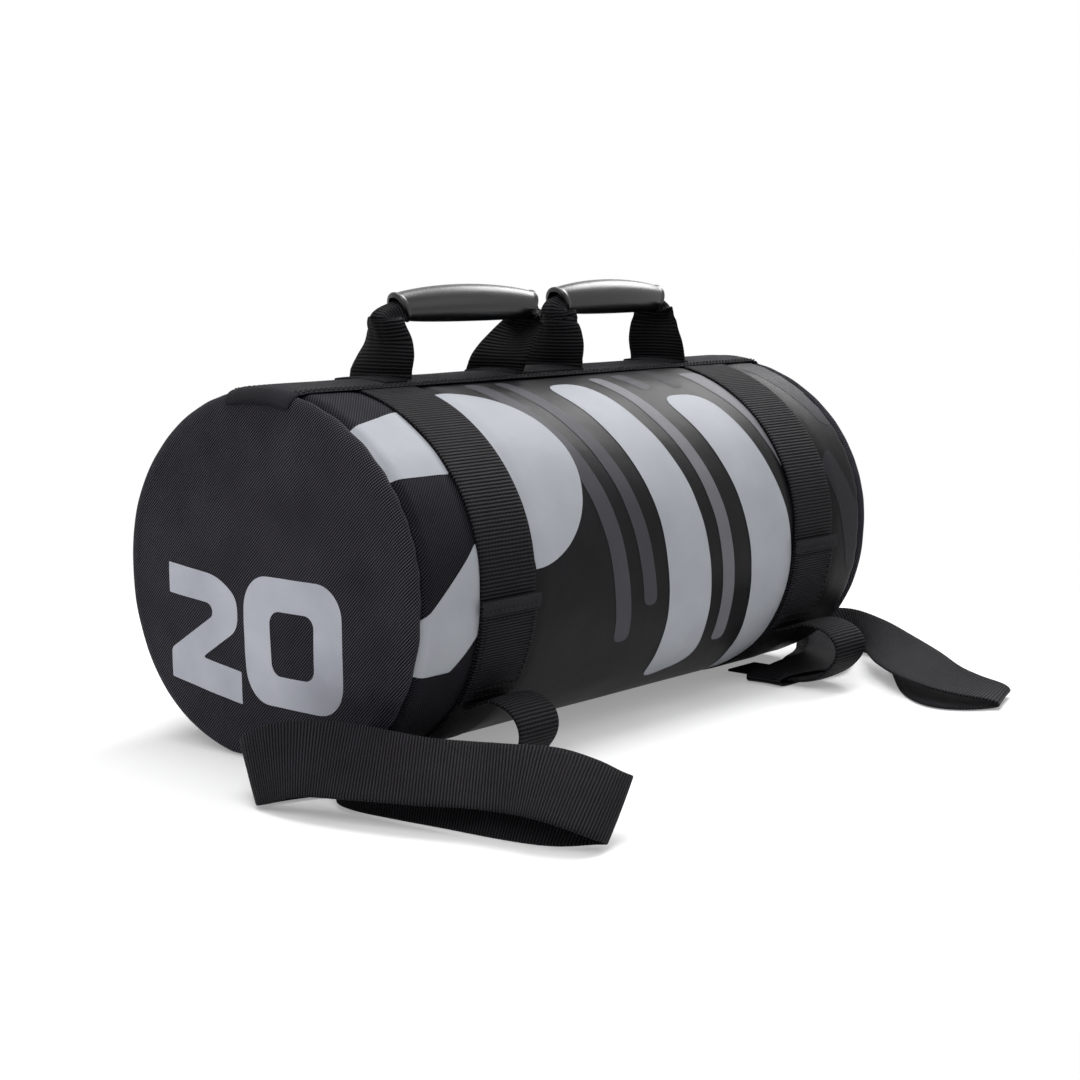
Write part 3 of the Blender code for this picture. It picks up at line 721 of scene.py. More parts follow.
@dataclass(frozen=True)
class BagForm:
    """The sagged drum that every sewn piece lies on."""

    half_length: float = 0.250
    half_width: float = 0.132
    centre_height: float = 0.118
    rise: float = 0.1185
    unpressed: float = 0.121
    base_power: float = 2.25
    seam_x: float = 0.2425
    seam_depth: float = 0.0040
    seam_run: float = 0.0085
    dome: float = 0.006
    front_strap: float = -0.168
    rear_strap: float = 0.174
    strap_half: float = 0.025
    # How deep the cloth is drawn in beside a strap, and how far from the strap that fades
    strap_dent: float = 0.0011
    dent_run: float = 0.0065
    # Puckers along the rims' seams, and the cloth's wide and fine folds
    pucker: float = 0.0004
    wide_fold: float = 0.0009
    fine_fold: float = 0.0004

    def strap_x(self, end: End) -> float:
        """Where the strap of an end lies along the bag."""
        return self.front_strap if end is End.FRONT else self.rear_strap

    def reach(self, angle: float) -> float:
        """How far the outside is from the centre line.

        Args:
            angle: Round the bag, where 0 is the top and a quarter turn is +Y.

        Returns:
            The distance, cut off where the bag lies flat on the floor.
        """
        side = abs(math.sin(angle)) / self.half_width
        upright = math.cos(angle)
        if upright >= 0:
            return (side ** 2 + (upright / self.rise) ** 2) ** -0.5
        full = (side ** self.base_power + (-upright / self.unpressed) ** self.base_power) ** (-1 / self.base_power)
        return min(full, self.centre_height / -upright)

    def point(self, x: float, depth: float, angle: float) -> Vector:
        """A point at a depth under the bag's outside."""
        reach = self.reach(angle) * (1 - depth / self.half_width)
        return Vector((x, reach * math.sin(angle), self.centre_height + reach * math.cos(angle)))

    def normal(self, x: float, angle: float) -> Vector:
        """The outward direction at an angle."""
        ahead = self.point(x, 0, angle + 0.01) - self.point(x, 0, angle - 0.01)
        return Vector((0, -ahead.z, ahead.y)).normalized()

    def slack(self, x: float, angle: float) -> float:
        """How deep the panel lies under the bag's outline, from its rims, straps and soft folds.

        Args:
            x: The place along the bag.
            angle: The place round it.

        Returns:
            The depth.
        """
        depth = 0.0
        past = (abs(x) - (self.seam_x - self.seam_run)) / self.seam_run
        if past > 0:
            depth += self.seam_depth * min(past, 1.0) ** 2.6
            wave = math.sin(angle * 47 + 3 * math.sin(angle * 4))
            depth += self.pucker * wave * ease(past) * ease((1.02 - past) / 0.5)
        for strap in (self.front_strap, self.rear_strap):
            gap = abs(x - strap) - self.strap_half
            if gap < 0.03:
                depth += self.strap_dent * math.exp(-(max(gap, 0.0) / self.dent_run) ** 2)
        fade = ease((math.cos(angle) + 0.97) / 0.25)
        wide = noise.noise(Vector((x * 9, math.sin(angle) * 2.2, math.cos(angle) * 2.2)))
        fine = noise.noise(Vector((x * 24 + 7, math.sin(angle) * 6, math.cos(angle) * 6)))
        return depth + fade * (self.wide_fold * (wide + 0.25) + self.fine_fold * fine)


@dataclass
class ArcTable:
    """Looks up angles by arc length quickly."""

    form: BagForm
    steps: int = 1440
    arcs: list[float] = field(default_factory=lambda: [0.0])

    def __post_init__(self) -> None:
        """Measures the arc from the top to every step of half a turn."""
        here = self.form.point(0, 0, 0)
        for step in range(1, self.steps + 1):
            there = self.form.point(0, 0, math.pi * step / self.steps)
            self.arcs.append(self.arcs[-1] + (there - here).length)
            here = there

    def angle(self, arc: float) -> float:
        """The angle at an arc length from the top.

        Args:
            arc: The length, positive on the near side, -Y.

        Returns:
            The angle, positive toward +Y.
        """
        target = min(abs(arc), self.arcs[-1])
        index = min(max(bisect_right(self.arcs, target) - 1, 0), self.steps - 1)
        share = (target - self.arcs[index]) / (self.arcs[index + 1] - self.arcs[index])
        found = mix(math.pi * index / self.steps, math.pi * (index + 1) / self.steps, share)
        return -math.copysign(found, arc)

    def arc(self, angle: float) -> float:
        """The arc length at an angle, the other way round.

        Args:
            angle: The angle, positive toward +Y.

        Returns:
            The length from the top, positive on the near side.
        """
        share = min(abs(angle) / math.pi, 1.0) * self.steps
        index = min(int(share), self.steps - 1)
        return -math.copysign(mix(self.arcs[index], self.arcs[index + 1], share - index), angle)


@dataclass
class Kit:
    """What every sub-assembly needs: the form, its arc table and the finishes."""

    form: BagForm
    table: ArcTable
    looks: Finishes

    def on_panel(self, x: float, arc: float, proud: float) -> Vector:
        """A point on the panel by its place along the bag and its arc length from the top."""
        angle = self.table.angle(arc)
        return self.form.point(x, self.form.slack(x, angle) - proud, angle)

    def keep(self, piece: bpy.types.Object, body: str, slot: str, *nodes: str) -> bpy.types.Object:
        """Puts a piece on its body and hides the CAD solids that it stands for.

        Args:
            piece: The piece.
            body: The body that it rides.
            slot: The name of its finish, which is not used.
            *nodes: The CAD solids that it replaces.

        Returns:
            The same piece.
        """
        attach(piece, body)
        if nodes:
            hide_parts(*nodes)
        LOG.info("%s rides %s", piece.name, body)
        return piece

    def bend(self, piece: bpy.types.Object, bodies: tuple[str, str], spots: tuple[Spot, Spot], node: str) -> None:
        """Bakes a piece of webbing's place into its mesh and hides the CAD solid that it stands in for.

        Args:
            piece: The piece.
            bodies: The body at its start and the one at its far end.
            spots: Two spots along the piece, which are not used.
            node: The CAD solid that it replaces.
        """
        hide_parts(node)
        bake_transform(piece)
        LOG.info("%s bends from %s to %s", piece.name, *bodies)


# Sub-assemblies


@dataclass
class Shell:
    """The coated panel round the bag and the flat print on it."""

    kit: Kit
    turn_in: float = 0.004
    rim_roll: float = 0.0004
    around: int = 288
    fill: float = 0.95
    print_cut: float = 0.0025

    def build(self) -> None:
        """Makes the panel and its print."""
        form, looks, edge = self.kit.form, self.kit.looks, self.kit.form.seam_x
        tuck = form.seam_depth + self.turn_in
        front = [(-edge - self.rim_roll, tuck)] + self._places(-edge, form.front_strap, 36)
        rest = self._places(form.front_strap, edge, 194) + [(edge + self.rim_roll, tuck)]
        # The front band is of the caps' cloth, its crowns darkened by painted shade, and meets the coated cloth under
        # the strap
        for name, places, look in (("front_band_cover", front, looks.band), ("panel_cover", rest, looks.panel)):
            piece = self.kit.keep(self._sleeve(name, places, look), "bag", "coated_fabric", "body_panel")
        self._print()

    @staticmethod
    def _places(start: float, stop: float, cells: int) -> list[tuple[float, None]]:
        """Even places along the bag, where the panel lies as deep as its slack."""
        return [(mix(start, stop, cell / cells), None) for cell in range(cells + 1)]

    def _sleeve(self, name: str, places: Sequence[tuple[float, float | None]],
                look: bpy.types.Material) -> bpy.types.Object:
        """Makes cloth round the bag.

        Args:
            name: The piece's name.
            places: Places along the bag, with a depth where it isn't that of the slack.
            look: The cloth.

        Returns:
            The new object.
        """
        form, table, steps = self.kit.form, self.kit.table, self.around
        rings, uvs = [], []
        for step in range(steps + 1):
            angle = math.tau * step / steps - math.pi
            arc = table.arc(angle)
            if step < steps:
                rings.append([form.point(x, form.slack(x, angle) if depth is None else depth, angle)
                              for x, depth in places])
            uvs.append([(x, arc) for x, _ in places])
        return lofted(name, rings, uvs, look, True, False, False)

    def _print(self) -> None:
        """Prints a plain design of blocks and bars on the near side, in mm along the bag and down from the top."""
        looks = self.kit.looks
        light = [
            # A half disc that comes out from under the front strap, and two leaning bars
            self._disc(-143, 118, 66, -88, 88),
            rounded(((-36, 46), (4, 46), (64, 290), (16, 306)), 18),
            rounded(((62, 74), (112, 74), (149, 214), (149, 322), (122, 330)), 20),
            # The front band's two blocks
            rounded(((-247, 78), (-193, 64), (-193, 122), (-247, 122)), 2),
            rounded(((-247, 214), (-193, 168), (-193, 226), (-214, 246), (-247, 246)), 2),
        ]
        mid = [
            rounded(((20, 40), (34, 40), (87, 274), (73, 274)), 6),
            rounded(((122, 44), (149, 44), (149, 150)), 4),
        ]
        dark = [
            rounded(((-104, 34), (-88, 34), (-35, 254), (-51, 254)), 7),
            rounded(((-74, 34), (-60, 34), (-13, 230), (-27, 230)), 7),
            rounded(((48, 38), (64, 38), (70, 62), (56, 66)), 5),
        ]
        faint = [
            rounded(((-136, 32), (-120, 32), (-88, 150), (-104, 160)), 7),
            rounded(((84, 34), (100, 34), (108, 62), (94, 66)), 5),
            rounded(((206, 40), (246, 40), (246, 120), (226, 120)), 8),
            rounded(((199, 150), (214, 138), (246, 214), (246, 236), (226, 236)), 8),
        ]
        sets = (("print_light", light, looks.print_light, 0.00030), ("print_mid", mid, looks.print_mid, 0.00026),
                ("print_dark", dark, looks.print_dark, 0.00022), ("print_faint", faint, looks.print_faint, 0.00018))
        for name, shapes, look, proud in sets:
            piece = decal(name, look, shapes, lambda x, arc, p=proud: self.kit.on_panel(x, arc, p),
                          self.print_cut)
            self.kit.keep(piece, "bag", "coated_fabric")

    @staticmethod
    def _disc(x: float, arc: float, radius: float, start: float, stop: float) -> Outline:
        """A part disc that is cut off straight.

        Args:
            x: Its middle along the bag, in mm.
            arc: Its middle down from the top, in mm.
            radius: Its radius along the bag, in mm.
            start: Where its round side starts, in degrees.
            stop: Where its round side stops, in degrees.

        Returns:
            The outline in metres.
        """
        steps, taller, straight = 40, 1.1, 0.9
        points = []
        for step in range(steps + 1):
            angle = math.radians(mix(start, stop, step / steps))
            points.append(((x + radius * math.cos(angle)) * MM, (arc + radius * taller * math.sin(angle)) * MM))
        return points + [(x * MM, (arc + side * radius * straight) * MM) for side in (1, -1)]


@dataclass
class EndCap:
    """A woven pillow of a disc, sewn to the panel round its side, with plain numerals on the front one."""

    kit: Kit
    end: End
    shoulder: float = 0.0125
    crown: float = 0.0035
    # How far the shoulder turns over, and how deep its seam puckers and its face bulges
    sweep: float = math.radians(112)
    pucker: float = 0.00045
    bulge: float = 0.0011
    fine_bulge: float = 0.0005
    tuck: float = 0.004
    tuck_back: float = 0.0005
    around: int = 240
    flat_cells: int = 34
    turn_cells: int = 22
    fill: float = 0.85
    numeral_cut: float = 0.005

    def _flat_edge(self, angle: float) -> float:
        """How far from the centre the shoulder starts to turn."""
        return self.kit.form.reach(angle) - self.shoulder

    def face_x(self, share: float, angle: float) -> float:
        """How far out the flat of the cap stands.

        Args:
            share: How far the place is from its centre, as a share of the way to the shoulder.
            angle: The place round it.

        Returns:
            The distance from the middle of the bag.
        """
        form = self.kit.form
        height = self.crown * (1 - share ** 2.4)
        around = Vector((share * 2.2 * math.sin(angle), share * 2.2 * math.cos(angle), self.end.value * 3.0))
        height += self.bulge * noise.noise(around) + self.fine_bulge * noise.noise(around * 2.7)
        return form.half_length + form.dome - self.crown - 0.0006 + height

    def place(self, reading: float, z: float, proud: float = 0.00025) -> Vector:
        """A point on the cap.

        Args:
            reading: How far it is to the right of the middle, for someone who faces the cap.
            z: Its height over the floor.
            proud: How far it stands off the cloth.

        Returns:
            The point.
        """
        y = reading * self.end.value
        angle = math.atan2(y, z - self.kit.form.centre_height)
        share = math.hypot(y, z - self.kit.form.centre_height) / self._flat_edge(angle)
        return self._surface(share, angle, proud)

    def _surface(self, share: float, angle: float, proud: float = 0.0) -> Vector:
        """A point on the cap or its shoulder.

        Args:
            share: Its share of the way to the shoulder, or past 1, one more than its share of the shoulder's turn.
            angle: The place round the cap.
            proud: How far it stands off the cloth.

        Returns:
            The point.
        """
        form, edge = self.kit.form, self._flat_edge(angle)
        if share <= 1.0:
            x, radius = self.face_x(share, angle) + proud, share * edge
        else:
            turn = min(share - 1.0, 1.0)
            front = self.face_x(1.0, angle)
            sweep = turn * self.sweep
            pucker = self.pucker * math.sin(angle * 41 + 2.5 * math.sin(angle * 5)) * ease((turn - 0.45) / 0.4)
            depth = front - form.seam_x + 0.0003
            round_x = math.cos(min(sweep, math.pi / 2)) if sweep < math.pi / 2 else 0.0
            x = form.seam_x + depth * round_x ** 0.9
            radius = edge + self.shoulder * math.sin(min(sweep, math.pi / 2)) ** 0.85
            fall = ease((sweep - math.radians(62)) / math.radians(50))
            radius -= fall * (form.seam_depth + 0.0008) - pucker
            x += proud * round_x
            radius += proud * (1 - round_x)
        return Vector((self.end.value * x, radius * math.sin(angle), form.centre_height + radius * math.cos(angle)))

    def build(self) -> None:
        """Makes the cap, and its numerals if it is the front one."""
        rings, uvs = [], []
        shares = [cell / self.flat_cells for cell in range(self.flat_cells + 1)]
        shares += [1 + cell / self.turn_cells for cell in range(1, self.turn_cells + 1)]
        for step in range(self.around + 1):
            angle = math.tau * step / self.around - math.pi
            row, uv, length = [], [], 0.0
            for share in shares:
                point = self._surface(share, angle)
                if row:
                    length += (point - row[-1]).length
                row.append(point)
                uv.append((length * math.sin(angle), length * math.cos(angle)))
            inward = Vector((0, -math.sin(angle), -math.cos(angle))) * self.tuck
            row.append(row[-1] + inward - Vector((self.end.value * self.tuck_back, 0, 0)))
            uv.append(uv[-1])
            if step < self.around:
                rings.append(row)
            uvs.append(uv)
        label = self.end.label
        cap = lofted(f"{label}_cap_cover", rings, uvs, self.kit.looks.cap, True, False, False)
        self.kit.keep(cap, "bag", "woven_polyester", f"{label}_end_cap")
        if self.end is End.FRONT:
            self._numerals()

    def _numerals(self) -> None:
        """Prints the plain weight number on the cap, in mm to the right of its middle and over the floor."""
        two = rounded(((-86, 121, 1), (-36, 116.5, 13), (-18, 104, 9), (-18, 84, 9), (-54, 62, 4), (-17, 57, 1),
                       (-17, 36, 1), (-86, 45, 1), (-86, 64, 3), (-43, 90, 5), (-43, 95, 4), (-47, 98, 3),
                       (-86, 101, 1)), 5)
        left, right = self._ring_halves()
        piece = decal("cap_numerals", self.kit.looks.numeral, [two, left, right], self.place, self.numeral_cut)
        self.kit.keep(piece, "bag", "woven_polyester")

    @staticmethod
    def _ring_halves() -> tuple[Outline, Outline]:
        """Draws the naught as two halves, so that neither has a hole.

        Returns:
            The left and the right half, in metres.
        """
        steps = 10

        def corner(x: float, z: float, radius: float, start: float) -> Outline:
            """A quarter of a circle in mm, from an angle in degrees."""
            turns = [math.radians(start + 90 * step / steps) for step in range(steps + 1)]
            return [((x + radius * math.cos(t)) * MM, (z + radius * math.sin(t)) * MM) for t in turns]

        middle, top, foot, inner_top, inner_foot = 31, 121, 39, 100, 59
        left = [(middle * MM, top * MM)] + corner(9, 100, 21, 90) + corner(9, 60, 21, 180)
        left += [(middle * MM, foot * MM), (middle * MM, inner_foot * MM)]
        left += list(reversed(corner(20, 67, 8, 180))) + list(reversed(corner(20, 92, 8, 90)))
        left += [(middle * MM, inner_top * MM)]
        right = [((2 * middle * MM - x), z) for x, z in left]
        return left, right


@dataclass
class TopStrip:
    """The woven strip along the top with the handles' flat tapes on it."""

    kit: Kit
    half_angle: float = math.radians(14.7)
    thickness: float = 0.0015
    # Half of its flat run, how proud that lies, and how deep the rims' seams sink it and crease its ends
    flat_half: float = 0.2455
    proud: float = 0.0013
    sunk: float = 0.0008
    crease: float = 0.0026
    stitch_insets: tuple[float, float] = (0.0022, 0.0052)
    tape_half_angle: float = math.radians(11.2)
    tape_depth: float = -0.0026
    stitch_depth: float = -0.0036

    def _path(self) -> list[tuple[float, float]]:
        """Follows the strip along the top, from one end's lip over the rims to the other's.

        Returns:
            Places along the bag, each with its depth under the bag's outline.
        """
        form = self.kit.form
        lip = [(0.2529, 0.0088), (0.2527, 0.0066), (0.2518, 0.0044), (0.2503, 0.0022), (0.2482, 0.0004)]
        flat = []
        steps = 150
        for step in range(steps + 1):
            x = mix(-self.flat_half, self.flat_half, step / steps)
            sunk = self.sunk * math.exp(-((abs(x) - form.seam_x) / 0.003) ** 2)
            flat.append((x, 0.0003 * noise.noise(Vector((x * 30, 0, 5))) - self.proud + sunk))
        return [(-x, depth) for x, depth in lip] + flat + list(reversed(lip))

    def build(self) -> None:
        """Makes the strip, its seams and the flat tapes."""
        form = self.kit.form
        cells = 12
        rings, uvs, length = [], [], 0.0
        path = self._path()
        for index, (x, depth) in enumerate(path):
            before, after = path[max(index - 1, 0)], path[min(index + 1, len(path) - 1)]
            run = Vector((after[0] - before[0], after[1] - before[1])).normalized()
            inward = Vector((-run.y, run.x)) * self.thickness / 2
            ring, uv = [], []
            # The turned-down ends are puckered by the rim's seam
            fold = self.crease * ease((abs(x) - form.seam_x) / 0.007)
            for side, order in ((-1, 1), (1, -1)):
                for cell in range(cells + 1):
                    turn = order * mix(-self.half_angle, self.half_angle, cell / cells)
                    edge = 1 - (abs(turn) / self.half_angle) ** 14
                    offset = inward * side * mix(0.35, 1.0, edge)
                    crease = fold * abs(noise.noise(Vector((turn * 26, x * 12, 3))))
                    ring.append(form.point(x + offset.x, depth + offset.y + crease, turn))
                    uv.append((length, turn * form.half_width))
            rings.append(ring)
            uvs.append(uv + [uv[0]])
            length += math.hypot(after[0] - x, after[1] - depth)
        strip = lofted("strip_cover", rings, uvs, self.kit.looks.strip)
        self.kit.keep(strip, "bag", "woven_polyester", "top_strip")
        runs = []
        for side in (-1, 1):
            for inset in self.stitch_insets:
                turn = side * (self.half_angle - inset / form.half_width)
                runs.append([(form.point(x, depth - self.thickness / 2, turn), form.normal(x, turn))
                             for x, depth in path[5:-5]])
        seam = stitches("strip_stitches", self.kit.looks.thread, runs)
        self.kit.keep(seam, "bag", "webbing")
        self._tapes()

    def _tapes(self) -> None:
        """Lays the handles' webbing flat on the strip, with a row of stitches across each end."""
        form = self.kit.form
        spans = {"centre": (-0.0375, 0.0375), "front": (-0.1635, -0.1435), "rear": (0.1435, 0.1635)}
        half_angle, depth, steps = self.tape_half_angle, self.tape_depth, 8
        runs = []
        for name, (low, high) in spans.items():
            bands = []
            for step in range(steps + 1):
                x = mix(low, high, step / steps)
                foot, top = form.point(x, depth, -half_angle), form.point(x, depth, half_angle)
                bands.append(Band(foot, top, form.point(x, depth, 0).z - foot.z))
            tape = Webbing(f"{name}_tape_cover", self.kit.looks.webbing, 0.0020, per_span=2, cells=14).build(bands)
            self.kit.keep(tape, "bag", "webbing", f"{name}_handle_tape")
            for x in (low + 0.003, high - 0.003):
                row = []
                for step in range(25):
                    turn = mix(-half_angle * 0.92, half_angle * 0.50, step / 24)
                    row.append((form.point(x, self.stitch_depth, turn), form.normal(x, turn)))
                runs.append(row)
        self.kit.keep(stitches("tape_stitches", self.kit.looks.thread, runs), "bag", "webbing")


@dataclass
class Strap:
    """Ribbed webbing round the bag, and the patch over its lower end."""

    kit: Kit
    end: End
    patch_top: float = math.radians(94.0)
    patch_foot: float = math.radians(123.6)
    fold_proud: float = 0.0048
    patch_proud: float = 0.0031
    stitch_inset: float = 0.0225

    @property
    def x(self) -> float:
        """Where the strap lies along the bag."""
        return self.kit.form.strap_x(self.end)

    def _band(self, angle: float, depth: float, half: float) -> Band:
        """A line across the strap, at an angle round the bag."""
        form = self.kit.form
        return Band(form.point(self.x - half, depth, angle), form.point(self.x + half, depth, angle))

    def build(self) -> None:
        """Makes the strap, then its patch."""
        form, label = self.kit.form, self.end.label
        start, stop, steps = math.radians(10), math.radians(350), 150
        bands = []
        for step in range(steps + 1):
            angle = -mix(start, stop, step / steps)
            pressed = ease((math.cos(angle) + 0.97) / 0.12)
            waist = 0.0006 * noise.noise(Vector((angle * 3, self.x * 40, 0)))
            bands.append(self._band(angle, mix(0.0010, 0.0002, pressed), form.strap_half + waist * pressed))
        strap = Webbing(f"{label}_strap_cover", self.kit.looks.webbing, 0.0018, per_span=2).build(bands)
        self.kit.keep(strap, "bag", "webbing", f"{label}_strap")
        self._patch()

    def _patch(self) -> None:
        """Makes the patch, the fold at its top edge and its box of stitches."""
        form, label, looks = self.kit.form, self.end.label, self.kit.looks
        steps = 16
        bands = []
        for step in range(steps + 1):
            share = step / steps
            angle = -mix(self.patch_top, self.patch_foot, share)
            lift = 0.0018 + 0.0007 * (1 - ease(share / 0.2))
            bands.append(self._band(angle, -lift, form.strap_half + 0.0012 * (1 - ease(share / 0.35))))
        patch = Webbing(f"{label}_patch_cover", looks.loop_webbing, 0.0020, per_span=3).build(bands)
        self.kit.keep(patch, "bag", "webbing", f"{label}_patch")
        fold = []
        for step in range(9):
            angle = -mix(self.patch_top - 0.012, self.patch_top + 0.052, step / 8)
            swell = math.sin(math.pi * step / 8)
            fold.append(self._band(angle, -0.0030 - 0.0006 * swell, form.strap_half + 0.0022))
        edge = Webbing(f"{label}_patch_fold", looks.strip, 0.0020, per_span=3).build(fold)
        self.kit.keep(edge, "bag", "webbing")
        runs = []
        for angle in (self.patch_top + 0.030, self.patch_top + 0.075, self.patch_foot - 0.04, self.patch_foot - 0.085):
            row = []
            for step in range(13):
                x = self.x + mix(-self.stitch_inset, self.stitch_inset, step / 12)
                proud = self.fold_proud if angle < self.patch_top + 0.05 else self.patch_proud
                row.append((form.point(x, -proud, -angle), form.normal(x, -angle)))
            runs.append(row)
        for side in (-1, 1):
            row = []
            for step in range(20):
                angle = mix(self.patch_top + 0.09, self.patch_foot - 0.085, step / 19)
                x = self.x + side * 0.0215
                row.append((form.point(x, -self.patch_proud, -angle), form.normal(x, -angle)))
            runs.append(row)
        self.kit.keep(stitches(f"{label}_patch_stitches", looks.thread, runs), "bag", "webbing")


@dataclass(frozen=True)
class Curl:
    """A line across rolled webbing.

    Out is the crown's distance from the middle of the handle, up its height, half the webbing's flat half width
    and turn half the angle that it is rolled through.
    """

    out: float
    up: float
    half: float
    turn: float


@dataclass(frozen=True)
class Slack:
    """How a leg's webbing strays from its straight line: foot, belly and neck out in X, and the foot's twist."""

    foot: float
    belly: float
    neck: float
    twist: float


SLACKS = {(End.FRONT, Leg.OUTER): Slack(-0.0028, 0.0014, 0.0095, math.radians(9)),
          (End.FRONT, Leg.INNER): Slack(0.0036, 0.0010, -0.0040, math.radians(5)),
          (End.REAR, Leg.INNER): Slack(0.0030, 0.0045, 0.0, math.radians(9)),
          (End.REAR, Leg.OUTER): Slack(0.0090, 0.0025, 0.0, math.radians(3))}


@dataclass(frozen=True)
class Stance:
    """How a handle stands: its sway in Y, its turn about Z, its lean in X and how high its legs reach."""

    sway: float
    yaw: float
    lean: float
    rise: float


STANCES = {End.FRONT: Stance(-0.009, math.radians(-8), 0.018, 0.0303), End.REAR: Stance(-0.002, 0.0, 0.0, 0.0315)}


@dataclass
class Handle:
    """Two legs of webbing, a split moulded grip and the rolled webbing through it."""

    kit: Kit
    end: End
    span: float = 0.114
    offset: float = 0.0905
    overhang: float = 0.006
    middle_radius: float = 0.0132
    end_radius: float = 0.0094
    wall: float = 0.0027
    slot: float = 0.0095
    cutback: float = 0.0095
    arch: float = 0.0025
    base_z: float = 0.24159
    grip_rise: float = 0.0135
    webbing_thickness: float = 0.0019
    # The grip's lip: how high it stands, how far in from the mouth and how wide; then the rounding of the mouth
    lip: float = 0.0009
    lip_in: float = 0.0022
    lip_width: float = 0.0016
    mouth_round: float = 0.0012
    mouth_flare: float = 0.0006
    # How far a leg bows, and the heights of two spots at its foot
    leg_bow: float = 0.0022
    bend_from: float = -0.0004
    bend_to: float = 0.0070

    # Up the leg as a share of its rise
    leg: tuple[Curl, ...] = (
        Curl(0.0590, -0.130, 0.0250, 0.20), Curl(0.0584, 0.000, 0.0250, 0.20), Curl(0.0580, 0.080, 0.0251, 0.21),
        Curl(0.0576, 0.220, 0.0253, 0.24), Curl(0.0578, 0.420, 0.0250, 0.31), Curl(0.0596, 0.660, 0.0234, 0.48),
        Curl(0.0632, 0.860, 0.0218, 0.70), Curl(0.0654, 1.000, 0.0210, 0.88), Curl(0.0662, 1.110, 0.0205, 1.06))
    # Up from the grip's middle in metres
    core: tuple[Curl, ...] = (
        Curl(0.0644, -0.0165, 0.0211, 0.82), Curl(0.0655, -0.0132, 0.0209, 0.92), Curl(0.0663, -0.0098, 0.0201, 1.14),
        Curl(0.0660, -0.0062, 0.0193, 1.48), Curl(0.0640, -0.0026, 0.0188, 1.90), Curl(0.0602, 0.0003, 0.0186, 2.32),
        Curl(0.0554, 0.0025, 0.0187, 2.64), Curl(0.0500, 0.0042, 0.0188, 2.80), Curl(0.0420, 0.0056, 0.0190, 2.85),
        Curl(0.0200, 0.0067, 0.0192, 2.85))

    def __post_init__(self) -> None:
        """Works out where the handle and its grip stand."""
        self.stance = STANCES[self.end]
        self.length = self.span + 2 * self.overhang
        self.foot_x = self.end.value * self.offset
        top = self.base_z + self.stance.rise + self.grip_rise
        self.centre = Vector((self.foot_x + self.stance.lean, self.stance.sway, top))
        self.turn = Matrix.Rotation(self.stance.yaw, 3, "Z")

    def build(self) -> None:
        """Makes the legs, the webbing in the grip and the grip."""
        for leg in Leg:
            self._leg(leg)
        self._core()
        self._grip()

    def _rolled(self, name: str, path: Sequence[tuple[Vector, Vector, float, float]]) -> bpy.types.Object:
        """Webbing rolled about its own length.

        Args:
            name: The piece's name.
            path: For each line its crown, the side direction, half the flat width and half the turn.

        Returns:
            The new object.
        """
        thickness, cells = self.webbing_thickness, 26
        crowns = eased([p[0] for p in path], False, 6)
        sides = eased([p[1] for p in path], False, 6)
        sizes = eased([Vector((p[2], p[3], 0)) for p in path], False, 6)
        rings, uvs, length = [], [], 0.0
        for index, crown in enumerate(crowns):
            before, after = crowns[max(index - 1, 0)], crowns[min(index + 1, len(crowns) - 1)]
            run = (after - before).normalized()
            side = sides[index].normalized()
            normal = run.cross(side).normalized()
            half, turn = sizes[index].x, sizes[index].y
            radius = half / turn
            ring, uv = [], []
            for layer, order in ((0.5, 1), (-0.5, -1)):
                for cell in range(cells + 1):
                    share = order * (2 * cell / cells - 1)
                    theta = share * turn
                    pleat = 0.0005 * math.sin(share * 14) * ease(turn / 1.5)
                    thick = layer * thickness * (1 - 0.75 * abs(share) ** 18)
                    reach = radius + thick + pleat
                    ring.append(crown + side * reach * math.sin(theta) + normal * (reach * math.cos(theta) - radius))
                    uv.append((length, share * half))
            rings.append(ring)
            uvs.append(uv + [uv[0]])
            length += (after - crown).length
        # The handles' webbing copy carries painted shade in its darker crowns
        return lofted(name, rings, uvs, self.kit.looks.handle_webbing_painted_shade)

    def _leg(self, leg: Leg) -> None:
        """Makes a leg of rolled webbing.

        Args:
            leg: Which of the two.
        """
        label, name, stance = self.end.label, leg.label, self.stance
        sign, slack = leg.value * self.end.value, SLACKS[self.end, leg]
        x = self.foot_x + sign * self.span / 2
        top_y = stance.sway + (x - self.foot_x) * math.tan(stance.yaw)
        path = []
        for line in self.leg:
            share = min(max(line.up, 0.0), 1.0)
            bow = self.leg_bow * math.sin(math.pi * share)
            stray = slack.foot * (1 - share) ** 1.4 + slack.belly * math.sin(math.pi * share) ** 0.8
            away = self.foot_x + sign * (line.out + stray + slack.neck * ease(share)) + stance.lean * ease(share)
            crown = Vector((away, top_y * line.up - bow * (1 if sign < 0 else 0), self.base_z + stance.rise * line.up))
            side = Matrix.Rotation(mix(slack.twist, stance.yaw, share), 3, "Z") @ Vector((0, -sign, 0))
            path.append((crown, side, line.half, line.turn))
        self.kit.bend(self._rolled(f"{label}_{name}_leg_cover", path), ("bag", f"{label}_{name}_leg"),
                      ((x, 0, self.base_z + self.bend_from), (x, 0, self.base_z + self.bend_to)),
                      f"{label}_handle_{name}_leg")

